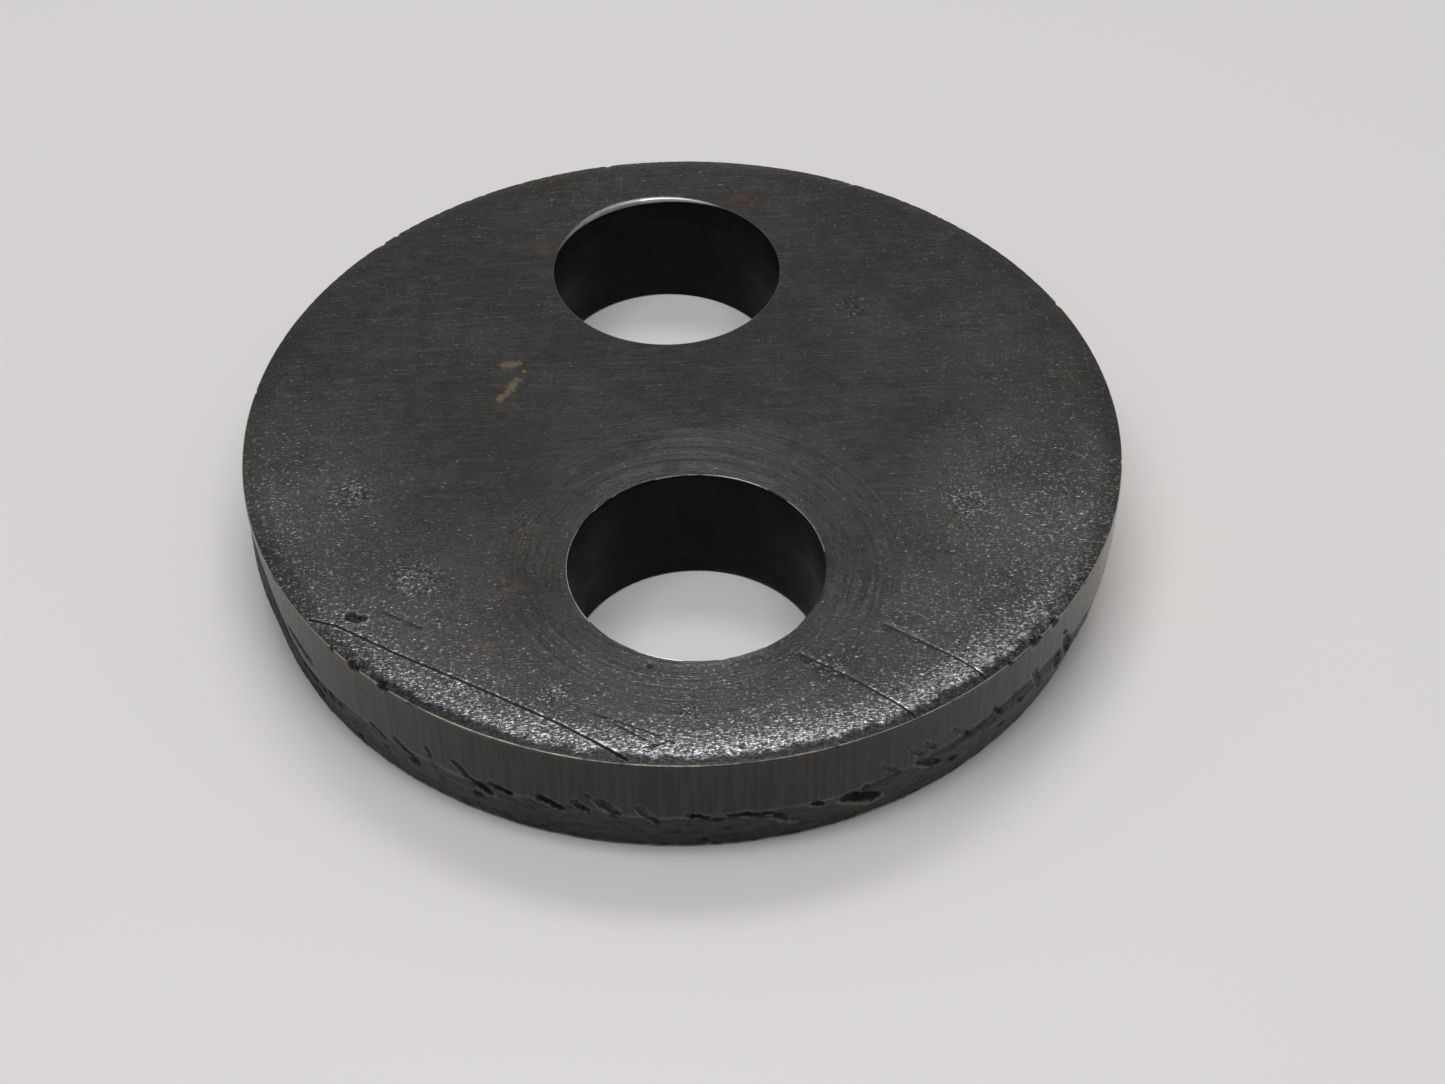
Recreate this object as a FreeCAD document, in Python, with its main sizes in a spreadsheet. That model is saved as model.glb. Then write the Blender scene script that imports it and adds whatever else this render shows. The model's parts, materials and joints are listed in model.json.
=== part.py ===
"""Shaft collar plate: a thick steel disc blanked from flat stock, with two through bores.

Frame: origin at the centre of the bottom face, +Z up through the thickness, and +Y along the
line that joins the centres of the bores, from the front bore to the rear bore. Millimetres.

The blank lies with its die side up. From the top down its edge has a roll-over, a straight
burnished land at full diameter, and a fracture zone that draws in to the punch's outline.
The punch ran a little off the die's centre, so the zone draws in most at the front.
"""
import FreeCAD, Part
import math
import os

import Sketcher

# Driving dimensions, each a cell of the sheet: alias, value, meaning.
DIMENSIONS = [
    ("disc_dia", 101.6, "outside diameter, 4 in"),
    ("thickness", 15.875, "plate thickness, 5/8 in"),
    ("roll_width", 3.0, "how far the roll-over reaches in from the edge"),
    ("roll_drop", 0.5, "how far the roll-over falls at the edge"),
    ("fracture_height", 7.0, "height of the fracture zone above the bottom face"),
    ("foot_dia", 98.4, "diameter of the bottom edge, the punch's"),
    ("foot_shift", 0.35, "how far the bottom edge lies off centre, towards -X"),
    ("front_bore_dia", 28.575, "front bore, 1-1/8 in"),
    ("front_bore_offset", 22.225, "front bore's axis from the disc's centre, 7/8 in"),
    ("rear_bore_dia", 27.78, "rear bore, 1-3/32 in"),
    ("rear_bore_offset", 28.575, "rear bore's axis from the disc's centre, 1-1/8 in"),
    ("edge_break", 0.25, "chamfer on the edges of the bores"),
    ("deburr_radius", 13.31, "radius of the deburring cone at the top face"),
    ("deburr_depth", 2.0, "depth of the deburring cone"),
    ("deburr_shift", 1.2, "how far the deburring cone runs off the rear bore's axis"),
    ("deburr_angle", 108.0, "direction of that run-off, in degrees from +X"),
]


def make_sheet(doc):
    """The spreadsheet that holds the driving dimensions."""
    sheet = doc.addObject("Spreadsheet::Sheet", "dims")
    for row, (alias, value, meaning) in enumerate(DIMENSIONS, start=1):
        sheet.set(f"A{row}", meaning)
        sheet.set(f"B{row}", str(value))
        sheet.setAlias(f"B{row}", alias)
    doc.recompute()
    return sheet


def origin_plane(body, role):
    """One of the body's own origin planes."""
    return next(f for f in body.Origin.OriginFeatures if f.Role == role)


def add_sketch(body, name, role):
    """An empty sketch on one of the body's origin planes."""
    sketch = body.newObject("Sketcher::SketchObject", name)
    sketch.AttachmentSupport = [(origin_plane(body, role), "")]
    sketch.MapMode = "FlatFace"
    return sketch


def size(sketch, kind, *places, name, formula):
    """A named dimension of a sketch, bound to the sheet."""
    index = sketch.addConstraint(Sketcher.Constraint(kind, *places))
    sketch.renameConstraint(index, name)
    sketch.setExpression(f"Constraints.{name}", formula)


def closed_outline(sketch, corners):
    """Straight lines through the corners, joined end to end; returns their indices."""
    points = [FreeCAD.Vector(x, y, 0) for x, y in corners]
    lines = [sketch.addGeometry(Part.LineSegment(a, b), False)
             for a, b in zip(points, points[1:] + points[:1])]
    for line, following in zip(lines, lines[1:] + lines[:1]):
        sketch.addConstraint(Sketcher.Constraint("Coincident", line, 2, following, 1))
    return lines


def revolve_land(body, sheet):
    """The roll-over and the land: their half section, turned about the vertical axis."""
    sketch = add_sketch(body, "land_section", "XZ_Plane")
    radius, top, base = sheet.disc_dia / 2, sheet.thickness, sheet.fracture_height
    flat_end, corner = radius - sheet.roll_width, top - sheet.roll_drop

    def point(x, z):
        return FreeCAD.Vector(x, z, 0)

    def line(start, end):
        return sketch.addGeometry(Part.LineSegment(point(*start), point(*end)), False)

    axis = line((0, base), (0, top))
    face = line((0, top), (flat_end, top))
    roll_radius = (sheet.roll_width**2 + sheet.roll_drop**2) / (2 * sheet.roll_drop)
    turn = math.asin(sheet.roll_width / roll_radius)
    circle = Part.Circle(point(flat_end, top - roll_radius), FreeCAD.Vector(0, 0, 1), roll_radius)
    roll = sketch.addGeometry(Part.ArcOfCircle(circle, math.pi / 2 - turn, math.pi / 2), False)
    land = line((radius, corner), (radius, base))
    floor = line((radius, base), (0, base))

    # An arc's point 1 is its end at the smaller angle: here, the corner above the land.
    joints = [(axis, 2, face, 1), (roll, 1, land, 1), (land, 2, floor, 1), (floor, 2, axis, 1)]
    for joint in joints:
        sketch.addConstraint(Sketcher.Constraint("Coincident", *joint))
    sketch.addConstraint(Sketcher.Constraint("Tangent", face, 2, roll, 2))
    sketch.addConstraint(Sketcher.Constraint("PointOnObject", axis, 1, -2))
    sketch.addConstraint(Sketcher.Constraint("Vertical", axis))
    sketch.addConstraint(Sketcher.Constraint("Horizontal", face))
    sketch.addConstraint(Sketcher.Constraint("Vertical", land))
    sketch.addConstraint(Sketcher.Constraint("Horizontal", floor))

    size(sketch, "DistanceY", -1, 1, axis, 1, base, name="base", formula="dims.fracture_height")
    size(sketch, "DistanceY", -1, 1, axis, 2, top, name="top", formula="dims.thickness")
    size(sketch, "DistanceX", -1, 1, land, 1, radius, name="radius", formula="dims.disc_dia / 2")
    size(sketch, "DistanceX", face, 2, land, 1, sheet.roll_width,
         name="roll_width", formula="dims.roll_width")
    size(sketch, "DistanceY", land, 1, face, 2, sheet.roll_drop,
         name="roll_drop", formula="dims.roll_drop")

    solid = body.newObject("PartDesign::Revolution", "land")
    solid.Profile = sketch
    solid.ReferenceAxis = (sketch, ["V_Axis"])
    solid.Angle = 360.0
    return solid


def loft_fracture(body, sheet):
    """The fracture zone: a skewed cone from the bottom edge up to the land."""
    foot = add_sketch(body, "foot_outline", "XY_Plane")
    circle = foot.addGeometry(
        Part.Circle(FreeCAD.Vector(-sheet.foot_shift, 0, 0), FreeCAD.Vector(0, 0, 1),
                    sheet.foot_dia / 2), False)
    foot.addConstraint(Sketcher.Constraint("PointOnObject", circle, 3, -1))
    size(foot, "DistanceX", circle, 3, -1, 1, sheet.foot_shift,
         name="shift", formula="dims.foot_shift")
    size(foot, "Diameter", circle, sheet.foot_dia, name="dia", formula="dims.foot_dia")

    head = add_sketch(body, "land_outline", "XY_Plane")
    head.setExpression(".AttachmentOffset.Base.z", "dims.fracture_height")
    circle = head.addGeometry(
        Part.Circle(FreeCAD.Vector(0, 0, 0), FreeCAD.Vector(0, 0, 1), sheet.disc_dia / 2), False)
    head.addConstraint(Sketcher.Constraint("Coincident", circle, 3, -1, 1))
    size(head, "Diameter", circle, sheet.disc_dia, name="dia", formula="dims.disc_dia")

    fracture = body.newObject("PartDesign::AdditiveLoft", "fracture_zone")
    fracture.Profile = foot
    fracture.Sections = [head]
    fracture.Ruled = True
    return fracture


def pocket_bores(body, sheet):
    """Both bores, punched right through the blank."""
    sketch = add_sketch(body, "bore_circles", "XY_Plane")
    for name, side in (("front_bore", -1), ("rear_bore", 1)):
        offset = getattr(sheet, f"{name}_offset")
        dia = getattr(sheet, f"{name}_dia")
        centre = FreeCAD.Vector(0, side * offset, 0)
        circle = sketch.addGeometry(Part.Circle(centre, FreeCAD.Vector(0, 0, 1), dia / 2), False)
        sketch.addConstraint(Sketcher.Constraint("PointOnObject", circle, 3, -2))
        ends = (-1, 1, circle, 3) if side > 0 else (circle, 3, -1, 1)
        size(sketch, "DistanceY", *ends, offset, name=f"{name}_offset",
             formula=f"dims.{name}_offset")
        size(sketch, "Diameter", circle, dia, name=f"{name}_dia", formula=f"dims.{name}_dia")

    bores = body.newObject("PartDesign::Pocket", "bores")
    bores.Profile = sketch
    bores.Type = "ThroughAll"
    bores.Reversed = True  # the solid stands on the sketch's plane
    return bores


def groove_deburr(body, sheet):
    """The deburring cone: it runs off the rear bore's axis, so it leaves a crescent."""
    sketch = add_sketch(body, "deburr_section", "XZ_Plane")
    run_x = "dims.deburr_shift * cos(dims.deburr_angle)"
    run_y = "dims.deburr_shift * sin(dims.deburr_angle)"
    # In this sketch's own axes, x is the body's X, y its Z, and z its -Y.
    sketch.setExpression(".AttachmentOffset.Base.x", run_x)
    sketch.setExpression(".AttachmentOffset.Base.z", f"-(dims.rear_bore_offset + {run_y})")

    top, rim, depth = sheet.thickness, sheet.deburr_radius, sheet.deburr_depth
    floor, side, face, axis = closed_outline(
        sketch, [(0, top - depth), (rim - depth, top - depth), (rim, top), (0, top)])
    sketch.addConstraint(Sketcher.Constraint("Horizontal", floor))
    sketch.addConstraint(Sketcher.Constraint("Horizontal", face))
    sketch.addConstraint(Sketcher.Constraint("PointOnObject", floor, 1, -2))
    sketch.addConstraint(Sketcher.Constraint("PointOnObject", axis, 1, -2))
    size(sketch, "DistanceY", -1, 1, axis, 1, top, name="top", formula="dims.thickness")
    size(sketch, "DistanceY", floor, 1, axis, 1, depth, name="depth", formula="dims.deburr_depth")
    size(sketch, "DistanceX", axis, 1, side, 2, rim, name="rim", formula="dims.deburr_radius")
    size(sketch, "DistanceX", floor, 2, side, 2, depth,
         name="slope", formula="dims.deburr_depth")

    deburr = body.newObject("PartDesign::Groove", "deburr")
    deburr.Profile = sketch
    deburr.ReferenceAxis = (sketch, ["V_Axis"])
    deburr.Angle = 360.0
    return deburr


def round_edges(shape, height, radius):
    """Names of the full circular edges of that radius at that height."""
    names = []
    for number, edge in enumerate(shape.Edges, start=1):
        if not isinstance(edge.Curve, Part.Circle):
            continue
        same_height = abs(edge.Curve.Center.z - height) < 1e-4
        if same_height and abs(edge.Curve.Radius - radius) < 1e-4 and edge.isClosed():
            names.append(f"Edge{number}")
    return names


def chamfer_bores(body, sheet, bores):
    """A small edge break at both ends of the front bore and at the rear bore's lower end."""
    front, rear = sheet.front_bore_dia / 2, sheet.rear_bore_dia / 2
    edges = (round_edges(bores.Shape, sheet.thickness, front)
             + round_edges(bores.Shape, 0, front) + round_edges(bores.Shape, 0, rear))
    if len(edges) != 3:
        raise RuntimeError(f"expected 3 bore edges to break, found {len(edges)}")
    chamfer = body.newObject("PartDesign::Chamfer", "bore_edge_breaks")
    chamfer.Base = (bores, edges)
    chamfer.setExpression("Size", "dims.edge_break")
    return chamfer


def expect_less(feature, before):
    """Stops if a cut has taken nothing away."""
    if not feature.Shape.Volume < before.Shape.Volume - 0.1:
        raise RuntimeError(f"{feature.Name} removed nothing")


def make_collar_plate(doc, sheet):
    """The collar plate, the object's one piece."""
    body = doc.addObject("PartDesign::Body", "collar_plate")
    body.Label = "collar_plate"
    land = revolve_land(body, sheet)
    doc.recompute()
    blank = loft_fracture(body, sheet)
    doc.recompute()
    if not blank.Shape.Volume > land.Shape.Volume:
        raise RuntimeError("the fracture zone added nothing")
    bores = pocket_bores(body, sheet)
    doc.recompute()
    expect_less(bores, blank)
    chamfer = chamfer_bores(body, sheet, bores)
    doc.recompute()
    expect_less(chamfer, bores)
    deburr = groove_deburr(body, sheet)
    doc.recompute()
    expect_less(deburr, chamfer)
    return body


def check(doc, sub_parts):
    """Stops on any failed object, and on any sub-part without a valid solid."""
    for item in doc.Objects:
        if {"Invalid", "Error"} & set(item.State):
            raise RuntimeError(f"{item.Name} failed: {item.State}")
    for item in sub_parts:
        if item.Shape.isNull() or not item.Shape.isValid() or len(item.Shape.Solids) != 1:
            raise RuntimeError(f"{item.Label} isn't one valid solid")


doc = FreeCAD.newDocument("shaft_collar_plate")
sheet = make_sheet(doc)
sub_parts = [make_collar_plate(doc, sheet)]
doc.recompute()
check(doc, sub_parts)

os.makedirs("parts", exist_ok=True)
for sub_part in sub_parts:
    sub_part.Shape.exportStep(f"parts/{sub_part.Label}.step")
    box = sub_part.Shape.optimalBoundingBox()
    print(f"{sub_part.Label}: {box.XLength:.3f} x {box.YLength:.3f} x {box.ZLength:.3f} mm, "
          f"{sub_part.Shape.Volume / 1000:.2f} cm3")
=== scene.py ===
"""Shaft collar plate: the worn surfaces and finish of a thick blanked steel disc with two bores.

The disc lies die side up. Its edge has a rolled-over corner, a burnished land and a torn
fracture zone; its faces carry oiled scale, rub rings, scores, dents and a stain.
"""
import json
import math

import bmesh
import bpy
import numpy as np
from bpy.props import FloatProperty, FloatVectorProperty, IntProperty, PointerProperty
from mathutils import Matrix, Vector
from mathutils.geometry import delaunay_2d_cdt


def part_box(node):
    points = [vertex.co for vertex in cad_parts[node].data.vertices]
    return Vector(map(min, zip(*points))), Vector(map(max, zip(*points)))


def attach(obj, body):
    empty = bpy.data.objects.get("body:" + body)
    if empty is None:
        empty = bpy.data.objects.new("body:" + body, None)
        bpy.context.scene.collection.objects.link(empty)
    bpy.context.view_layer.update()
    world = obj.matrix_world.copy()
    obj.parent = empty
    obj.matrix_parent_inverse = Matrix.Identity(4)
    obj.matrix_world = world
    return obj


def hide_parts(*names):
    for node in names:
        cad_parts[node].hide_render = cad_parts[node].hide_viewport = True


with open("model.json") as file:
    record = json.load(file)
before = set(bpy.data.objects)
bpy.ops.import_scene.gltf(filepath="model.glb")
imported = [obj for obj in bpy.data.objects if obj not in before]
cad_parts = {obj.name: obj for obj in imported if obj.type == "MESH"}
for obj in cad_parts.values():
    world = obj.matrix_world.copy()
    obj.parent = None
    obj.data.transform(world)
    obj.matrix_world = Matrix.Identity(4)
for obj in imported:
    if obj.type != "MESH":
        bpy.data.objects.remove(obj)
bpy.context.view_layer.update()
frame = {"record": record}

bl_info = {
    "name": "Shaft Collar Plate",
    "version": (1, 0, 0),
    "blender": (4, 5, 0),
    "location": "View3D > Sidebar > Collar Plate",
    "description": "Builds a worn, blanked steel collar plate with two bores, and its stage",
    "category": "Add Mesh",
}

MM = 0.001
NODE = "collar_plate"
LOW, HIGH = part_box(NODE)
MOUNTS = {mount["name"]: mount for mount in frame["record"]["mounts"]}


def bore_radius(name):
    """A bore's radius in metres, from its mount."""
    return MOUNTS[name]["dims"]["r_mm"] * MM


def bore_centre(name):
    """A bore's centre in plan, in metres, from its mount."""
    return MOUNTS[name]["pos_m"][:2]


class CollarPlateSizes(bpy.types.PropertyGroup):
    """The plate's shape."""
    radius: FloatProperty(
        name="Radius", description="Outside radius of the disc",
        default=(HIGH[0] - LOW[0]) / 2, subtype="DISTANCE", unit="LENGTH", precision=5)
    thickness: FloatProperty(
        name="Thickness", description="Plate thickness",
        default=HIGH[2] - LOW[2], subtype="DISTANCE", unit="LENGTH", precision=5)
    roll_width: FloatProperty(
        name="Roll-over Width", description="How far the rolled corner reaches in from the edge",
        default=3.0 * MM, subtype="DISTANCE", unit="LENGTH", precision=5)
    roll_drop: FloatProperty(
        name="Roll-over Drop", description="How far the rolled corner falls at the edge",
        default=0.5 * MM, subtype="DISTANCE", unit="LENGTH", precision=5)
    land_foot: FloatProperty(
        name="Land Foot", description="Height where the burnished land ends and the tear starts",
        default=7.0 * MM, subtype="DISTANCE", unit="LENGTH", precision=5)
    foot_radius: FloatProperty(
        name="Foot Radius", description="Radius of the bottom edge",
        default=49.2 * MM, subtype="DISTANCE", unit="LENGTH", precision=5)
    foot_shift: FloatProperty(
        name="Foot Shift", description="How far the foot lies off centre, towards -X",
        default=0.35 * MM, subtype="DISTANCE", unit="LENGTH", precision=5)
    edge_break: FloatProperty(
        name="Edge Break", description="Width of the worn corner between roll-over and land",
        default=0.09 * MM, subtype="DISTANCE", unit="LENGTH", precision=5)
    deburr_width: FloatProperty(
        name="Deburr Width", description="Widest part of the crescent cut on the rear bore",
        default=0.62 * MM, subtype="DISTANCE", unit="LENGTH", precision=5)
    deburr_angle: FloatProperty(
        name="Deburr Direction", description="Where that crescent is widest, from +X",
        default=math.radians(108), subtype="ANGLE", unit="ROTATION")


class CollarPlateWear(bpy.types.PropertyGroup):
    """How deep the wear on the surfaces is."""
    tear_depth: FloatProperty(
        name="Tear Depth", description="Depth of the torn texture of the fracture zone",
        default=0.10 * MM, subtype="DISTANCE", unit="LENGTH", precision=5)
    ledge_depth: FloatProperty(
        name="Ledge Depth", description="Step from the burnished land down to the fracture zone",
        default=0.06 * MM, subtype="DISTANCE", unit="LENGTH", precision=5)
    streak_depth: FloatProperty(
        name="Streak Depth", description="Depth of the upright streaks on the land",
        default=0.03 * MM, subtype="DISTANCE", unit="LENGTH", precision=5)
    ring_depth: FloatProperty(
        name="Tool Ring Depth", description="Depth of the rings in the bores",
        default=0.06 * MM, subtype="DISTANCE", unit="LENGTH", precision=5)
    ring_pitch: FloatProperty(
        name="Tool Ring Pitch", description="Typical spacing of the rings in the bores",
        default=1.1 * MM, subtype="DISTANCE", unit="LENGTH", precision=5)
    wave_depth: FloatProperty(
        name="Face Waviness", description="Depth of the slow hollows in the top face",
        default=0.06 * MM, subtype="DISTANCE", unit="LENGTH", precision=5)
    grit_depth: FloatProperty(
        name="Grit Depth", description="Depth of the gritty texture of the front rim",
        default=0.05 * MM, subtype="DISTANCE", unit="LENGTH", precision=5)
    pit_depth: FloatProperty(
        name="Pit Depth", description="Depth of the scattered pits in the fracture zone",
        default=0.3 * MM, subtype="DISTANCE", unit="LENGTH", precision=5)
    pit_size: FloatProperty(
        name="Pit Size", description="Radius of the largest scattered pits",
        default=0.8 * MM, subtype="DISTANCE", unit="LENGTH", precision=5)
    score_depth: FloatProperty(
        name="Score Depth", description="Depth of the scored lines on the top face",
        default=0.12 * MM, subtype="DISTANCE", unit="LENGTH", precision=5)
    score_width: FloatProperty(
        name="Score Width", description="Width of the scored lines on the top face",
        default=0.2 * MM, subtype="DISTANCE", unit="LENGTH", precision=5)
    seed: IntProperty(
        name="Seed", description="Changes everything random in the wear", default=4, min=0)


class CollarPlateFinish(bpy.types.PropertyGroup):
    """Colours of the steel and of the stage."""
    scale: FloatVectorProperty(
        name="Oiled Scale", description="Dark oxide on the faces",
        default=(0.0175, 0.0165, 0.0150), size=3, subtype="COLOR", min=0, max=1)
    worn: FloatVectorProperty(
        name="Worn Scale", description="Scale rubbed down to grey",
        default=(0.042, 0.042, 0.042), size=3, subtype="COLOR", min=0, max=1)
    brown: FloatVectorProperty(
        name="Brown Oil", description="Warm tint of dried oil",
        default=(0.026, 0.019, 0.012), size=3, subtype="COLOR", min=0, max=1)
    sheared: FloatVectorProperty(
        name="Sheared Wall", description="Blanked edge of the disc",
        default=(0.0085, 0.0078, 0.0064), size=3, subtype="COLOR", min=0, max=1)
    # Blue-black scale, also the colour of a painted dark reflection on the front brink.
    blued_and_dark_reflection: FloatVectorProperty(
        name="Blued Scale", description="Blue-black scale near the rim and in patches",
        default=(0.0080, 0.0105, 0.0145), size=3, subtype="COLOR", min=0, max=1)
    # Polished steel, also the colour of painted glints: the flecks on the front rim and the bright
    # line of the crescent.
    polish_and_glint: FloatVectorProperty(
        name="Polished Steel", description="Steel rubbed bright on the rim and in the crescent",
        default=(0.62, 0.63, 0.645), size=3, subtype="COLOR", min=0, max=1)
    # Bare steel, also used as painted highlight and reflection: the worn corner, the lips round
    # gouges and the bright patch on the right of the wall.
    bright: FloatVectorProperty(
        name="Bare Steel", description="Edges and lips worn down to bare metal",
        default=(0.36, 0.31, 0.23), size=3, subtype="COLOR", min=0, max=1)
    stain: FloatVectorProperty(
        name="Ochre Stain", description="Dried mark on the top face",
        default=(0.165, 0.120, 0.052), size=3, subtype="COLOR", min=0, max=1)
    rust: FloatVectorProperty(
        name="Rust", description="Faint rust blooms on the top face",
        default=(0.075, 0.030, 0.018), size=3, subtype="COLOR", min=0, max=1)
    # Near black: the bores and the torn zone, and the colour that darkens hollows and cracks.
    dark_fill: FloatVectorProperty(
        name="Packed Dirt", description="Dirt in bores, scores, dents and gouges",
        default=(0.007, 0.0065, 0.006), size=3, subtype="COLOR", min=0, max=1)
    floor: FloatVectorProperty(
        name="Floor", description="The pale floor",
        default=(0.80, 0.78, 0.77), size=3, subtype="COLOR", min=0, max=1)


# Scored lines on the top face: depth against the default, and points in plan, in millimetres.
SCORES = [
    (1.0, [(-42.5, -27.0), (-39.5, -28.4), (-33.0, -33.0), (-24.0, -38.8), (-16.0, -44.2),
           (-9.2, -49.4)]),
    (0.4, [(-34.4, -26.7), (-30.5, -29.3)]),
    (0.5, [(-12.0, -43.2), (-5.6, -46.7)]),
    (0.5, [(-10.0, -44.8), (-6.0, -48.0)]),
    (0.7, [(10.2, -36.4), (15.0, -40.0), (18.0, -42.7), (21.4, -45.7)]),
    (0.6, [(19.8, -32.8), (24.0, -36.0), (27.0, -38.4), (29.5, -40.8)]),
    (0.5, [(-7.8, -48.2), (-5.6, -47.8), (-4.4, -47.3), (-4.1, -47.8)]),
]

# Dents in the top face: place in plan, reach and depth, in millimetres.
DENTS = [
    (-37.9, -27.2, 0.7, 0.5), (-37.2, -27.6, 0.6, 0.5), (-36.6, -27.5, 0.5, 0.4),
    (2.9, -48.7, 0.4, 0.18), (5.2, -48.5, 0.35, 0.16), (-6.0, -36.9, 0.35, 0.2),
]

# Patches of close small pits in the top face: place in plan and reach, in millimetres.
PITTED_PATCHES = [
    (-16.2, -40.2, 2.2), (-2.2, -43.6, 2.0), (31.0, -14.5, 4.2), (-19.0, -14.9, 2.4),
    (-31.0, -22.0, 5.0), (-26.5, -38.0, 2.5), (13.0, -38.5, 2.5), (-38.0, -8.0, 4.0),
    (22.0, 20.0, 4.0), (-9.0, 38.0, 3.0),
]

# Spots on the top face beside nicks, polished bright and partly painted glints: place in plan and
# reach, in millimetres.
GLINT_AND_POLISHED_SPOTS = [
    (-37.1, -33.4, 0.9), (-33.7, -36.7, 1.0), (-35.6, -34.9, 0.6), (37.6, -32.8, 1.3),
    (34.9, -35.4, 1.4), (12.9, 21.0, 0.7), (30.5, -38.6, 1.0),
]

# Nicks in the top corner: direction in degrees from +X, reach and depth in millimetres.
NICKS = [
    (-142, 0.4, 0.20), (-138.0, 0.8, 0.45), (-137.3, 0.5, 0.3), (-132.9, 0.75, 0.45),
    (-132.2, 0.4, 0.25), (-128.4, 0.35, 0.15), (-101, 0.35, 0.12), (-75.5, 0.35, 0.15),
    (-50, 0.45, 0.25), (-45.3, 0.75, 0.4), (-44.3, 0.4, 0.25), (-41.0, 0.7, 0.35),
    (-33, 0.4, 0.15), (-10, 0.4, 0.12), (22, 0.4, 0.15), (61, 0.4, 0.12), (97, 0.5, 0.15),
    (131, 0.4, 0.15), (133.5, 0.5, 0.15), (168, 0.4, 0.15),
]

# Where the fracture zone climbs up the wall: direction in degrees, then reach along the rim
# and rise in millimetres.
TEAR_RISES = [(-166, 17, 6.5), (-42, 30, 2.6), (15, 22, 2.0), (96, 30, 3.0)]

# Where the drawn-in foot starts higher up the wall: direction and reach in degrees, and rise
# in millimetres.
FOOT_RISES = [(4, 34, 7.0)]

# Patches of the top face: place in plan and reach in millimetres, and how much greyer they
# are, or darker where that is below 0.
RUBBED_PATCHES = [
    (-48, -6, 20, 0.75), (37, -14, 19, 0.95), (-35, -30, 14, 0.2), (0, -47, 22, 0.35),
    (34, 10, 20, 0.4), (27, -34, 12, 0.5), (-22, -40, 9, 0.15), (-25, 2, 11, -0.4),
    (-19, -9, 9, -0.35), (3, 10, 9, -0.3), (-14, -25, 9, -0.25), (16, -21, 8, -0.2),
    (-25, 28, 14, -0.1), (2, 46, 26, 0.3),
]

# Dried ochre smears: each a short line in plan, and their specks, in millimetres.
STAIN_SMEARS = [((-20.4, 12.4), (-18.6, 12.6)), ((-19.0, 9.6), (-19.6, 8.2)),
                ((-20.1, 7.6), (-21.0, 6.4))]
STAIN_SPECKS = [(28.9, -18.3, 0.45), (21.6, -16.1, 0.3), (-18.0, 11.2, 0.4), (33.5, -5.0, 0.25)]

# Rust blooms on the top face: place in plan and reach, in millimetres.
RUST_BLOOMS = [(10.9, 41.4, 3.2), (-14.2, 33.5, 3.0), (-20.5, -25.2, 2.6), (-23.8, -33.4, 2.4)]

# Gouges in the wall: from and to, each as degrees from +X and height, then reach and depth,
# in millimetres.
GOUGES = [
    ((-122.6, 8.8), (-120.0, 6.6), 0.45, 0.35), ((-120.0, 6.6), (-118.2, 5.4), 0.675, 0.55),
    ((-117.6, 7.4), (-115.2, 6.8), 0.525, 0.45), ((-111.4, 7.6), (-108.8, 6.4), 0.525, 0.6),
    ((-107.0, 7.9), (-105.6, 7.0), 0.45, 0.4), ((-105.5, 9.4), (-105.2, 9.3), 0.375, 0.3),
    ((-103.8, 8.6), (-101.8, 7.2), 0.6, 0.4), ((-99.0, 8.2), (-97.0, 5.6), 0.525, 0.3),
    ((-93.3, 7.2), (-91.0, 6.6), 0.45, 0.4), ((-90.9, 6.0), (-89.0, 5.9), 0.375, 0.3),
    ((-88.5, 6.8), (-83.0, 6.0), 0.375, 0.35), ((-82.4, 5.4), (-80.4, 3.4), 0.75, 0.6),
    ((-78.0, 6.6), (-76.9, 5.8), 0.525, 0.5), ((-73.4, 5.8), (-69.6, 3.6), 1.05, 0.9),
    ((-69.2, 9.6), (-66.8, 7.6), 0.375, 0.2), ((-65.2, 10.2), (-63.6, 8.8), 0.375, 0.25),
    ((-63.2, 10.4), (-61.9, 9.0), 0.375, 0.25), ((-63.8, 7.8), (-60.8, 5.4), 0.675, 0.4),
    ((-59.2, 10.4), (-56.2, 8.0), 0.375, 0.2), ((-52.7, 10.0), (-51.0, 8.0), 0.375, 0.25),
    ((-47.5, 7.4), (-46.8, 6.9), 0.375, 0.3), ((-44.8, 10.4), (-42.8, 6.2), 0.525, 0.3),
    ((-39.2, 8.0), (-37.8, 5.4), 0.825, 0.6), ((-37.2, 9.4), (-34.8, 5.4), 0.9, 0.6),
    ((-37.9, 11.2), (-37.5, 10.9), 0.375, 0.4), ((-153.0, 10.0), (-147.5, 8.8), 0.375, 0.2),
    ((-150.0, 6.4), (-146.0, 5.2), 0.525, 0.5), ((-142.4, 5.6), (-141.0, 5.0), 0.525, 0.3),
    ((-135.6, 7.4), (-133.8, 6.6), 0.45, 0.25), ((-131.6, 7.6), (-129.4, 6.0), 0.45, 0.3),
    ((-126.8, 9.2), (-126.1, 8.0), 0.375, 0.25),
]

ZONES = ["face", "wall", "bore", "bright", "cut"]


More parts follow.
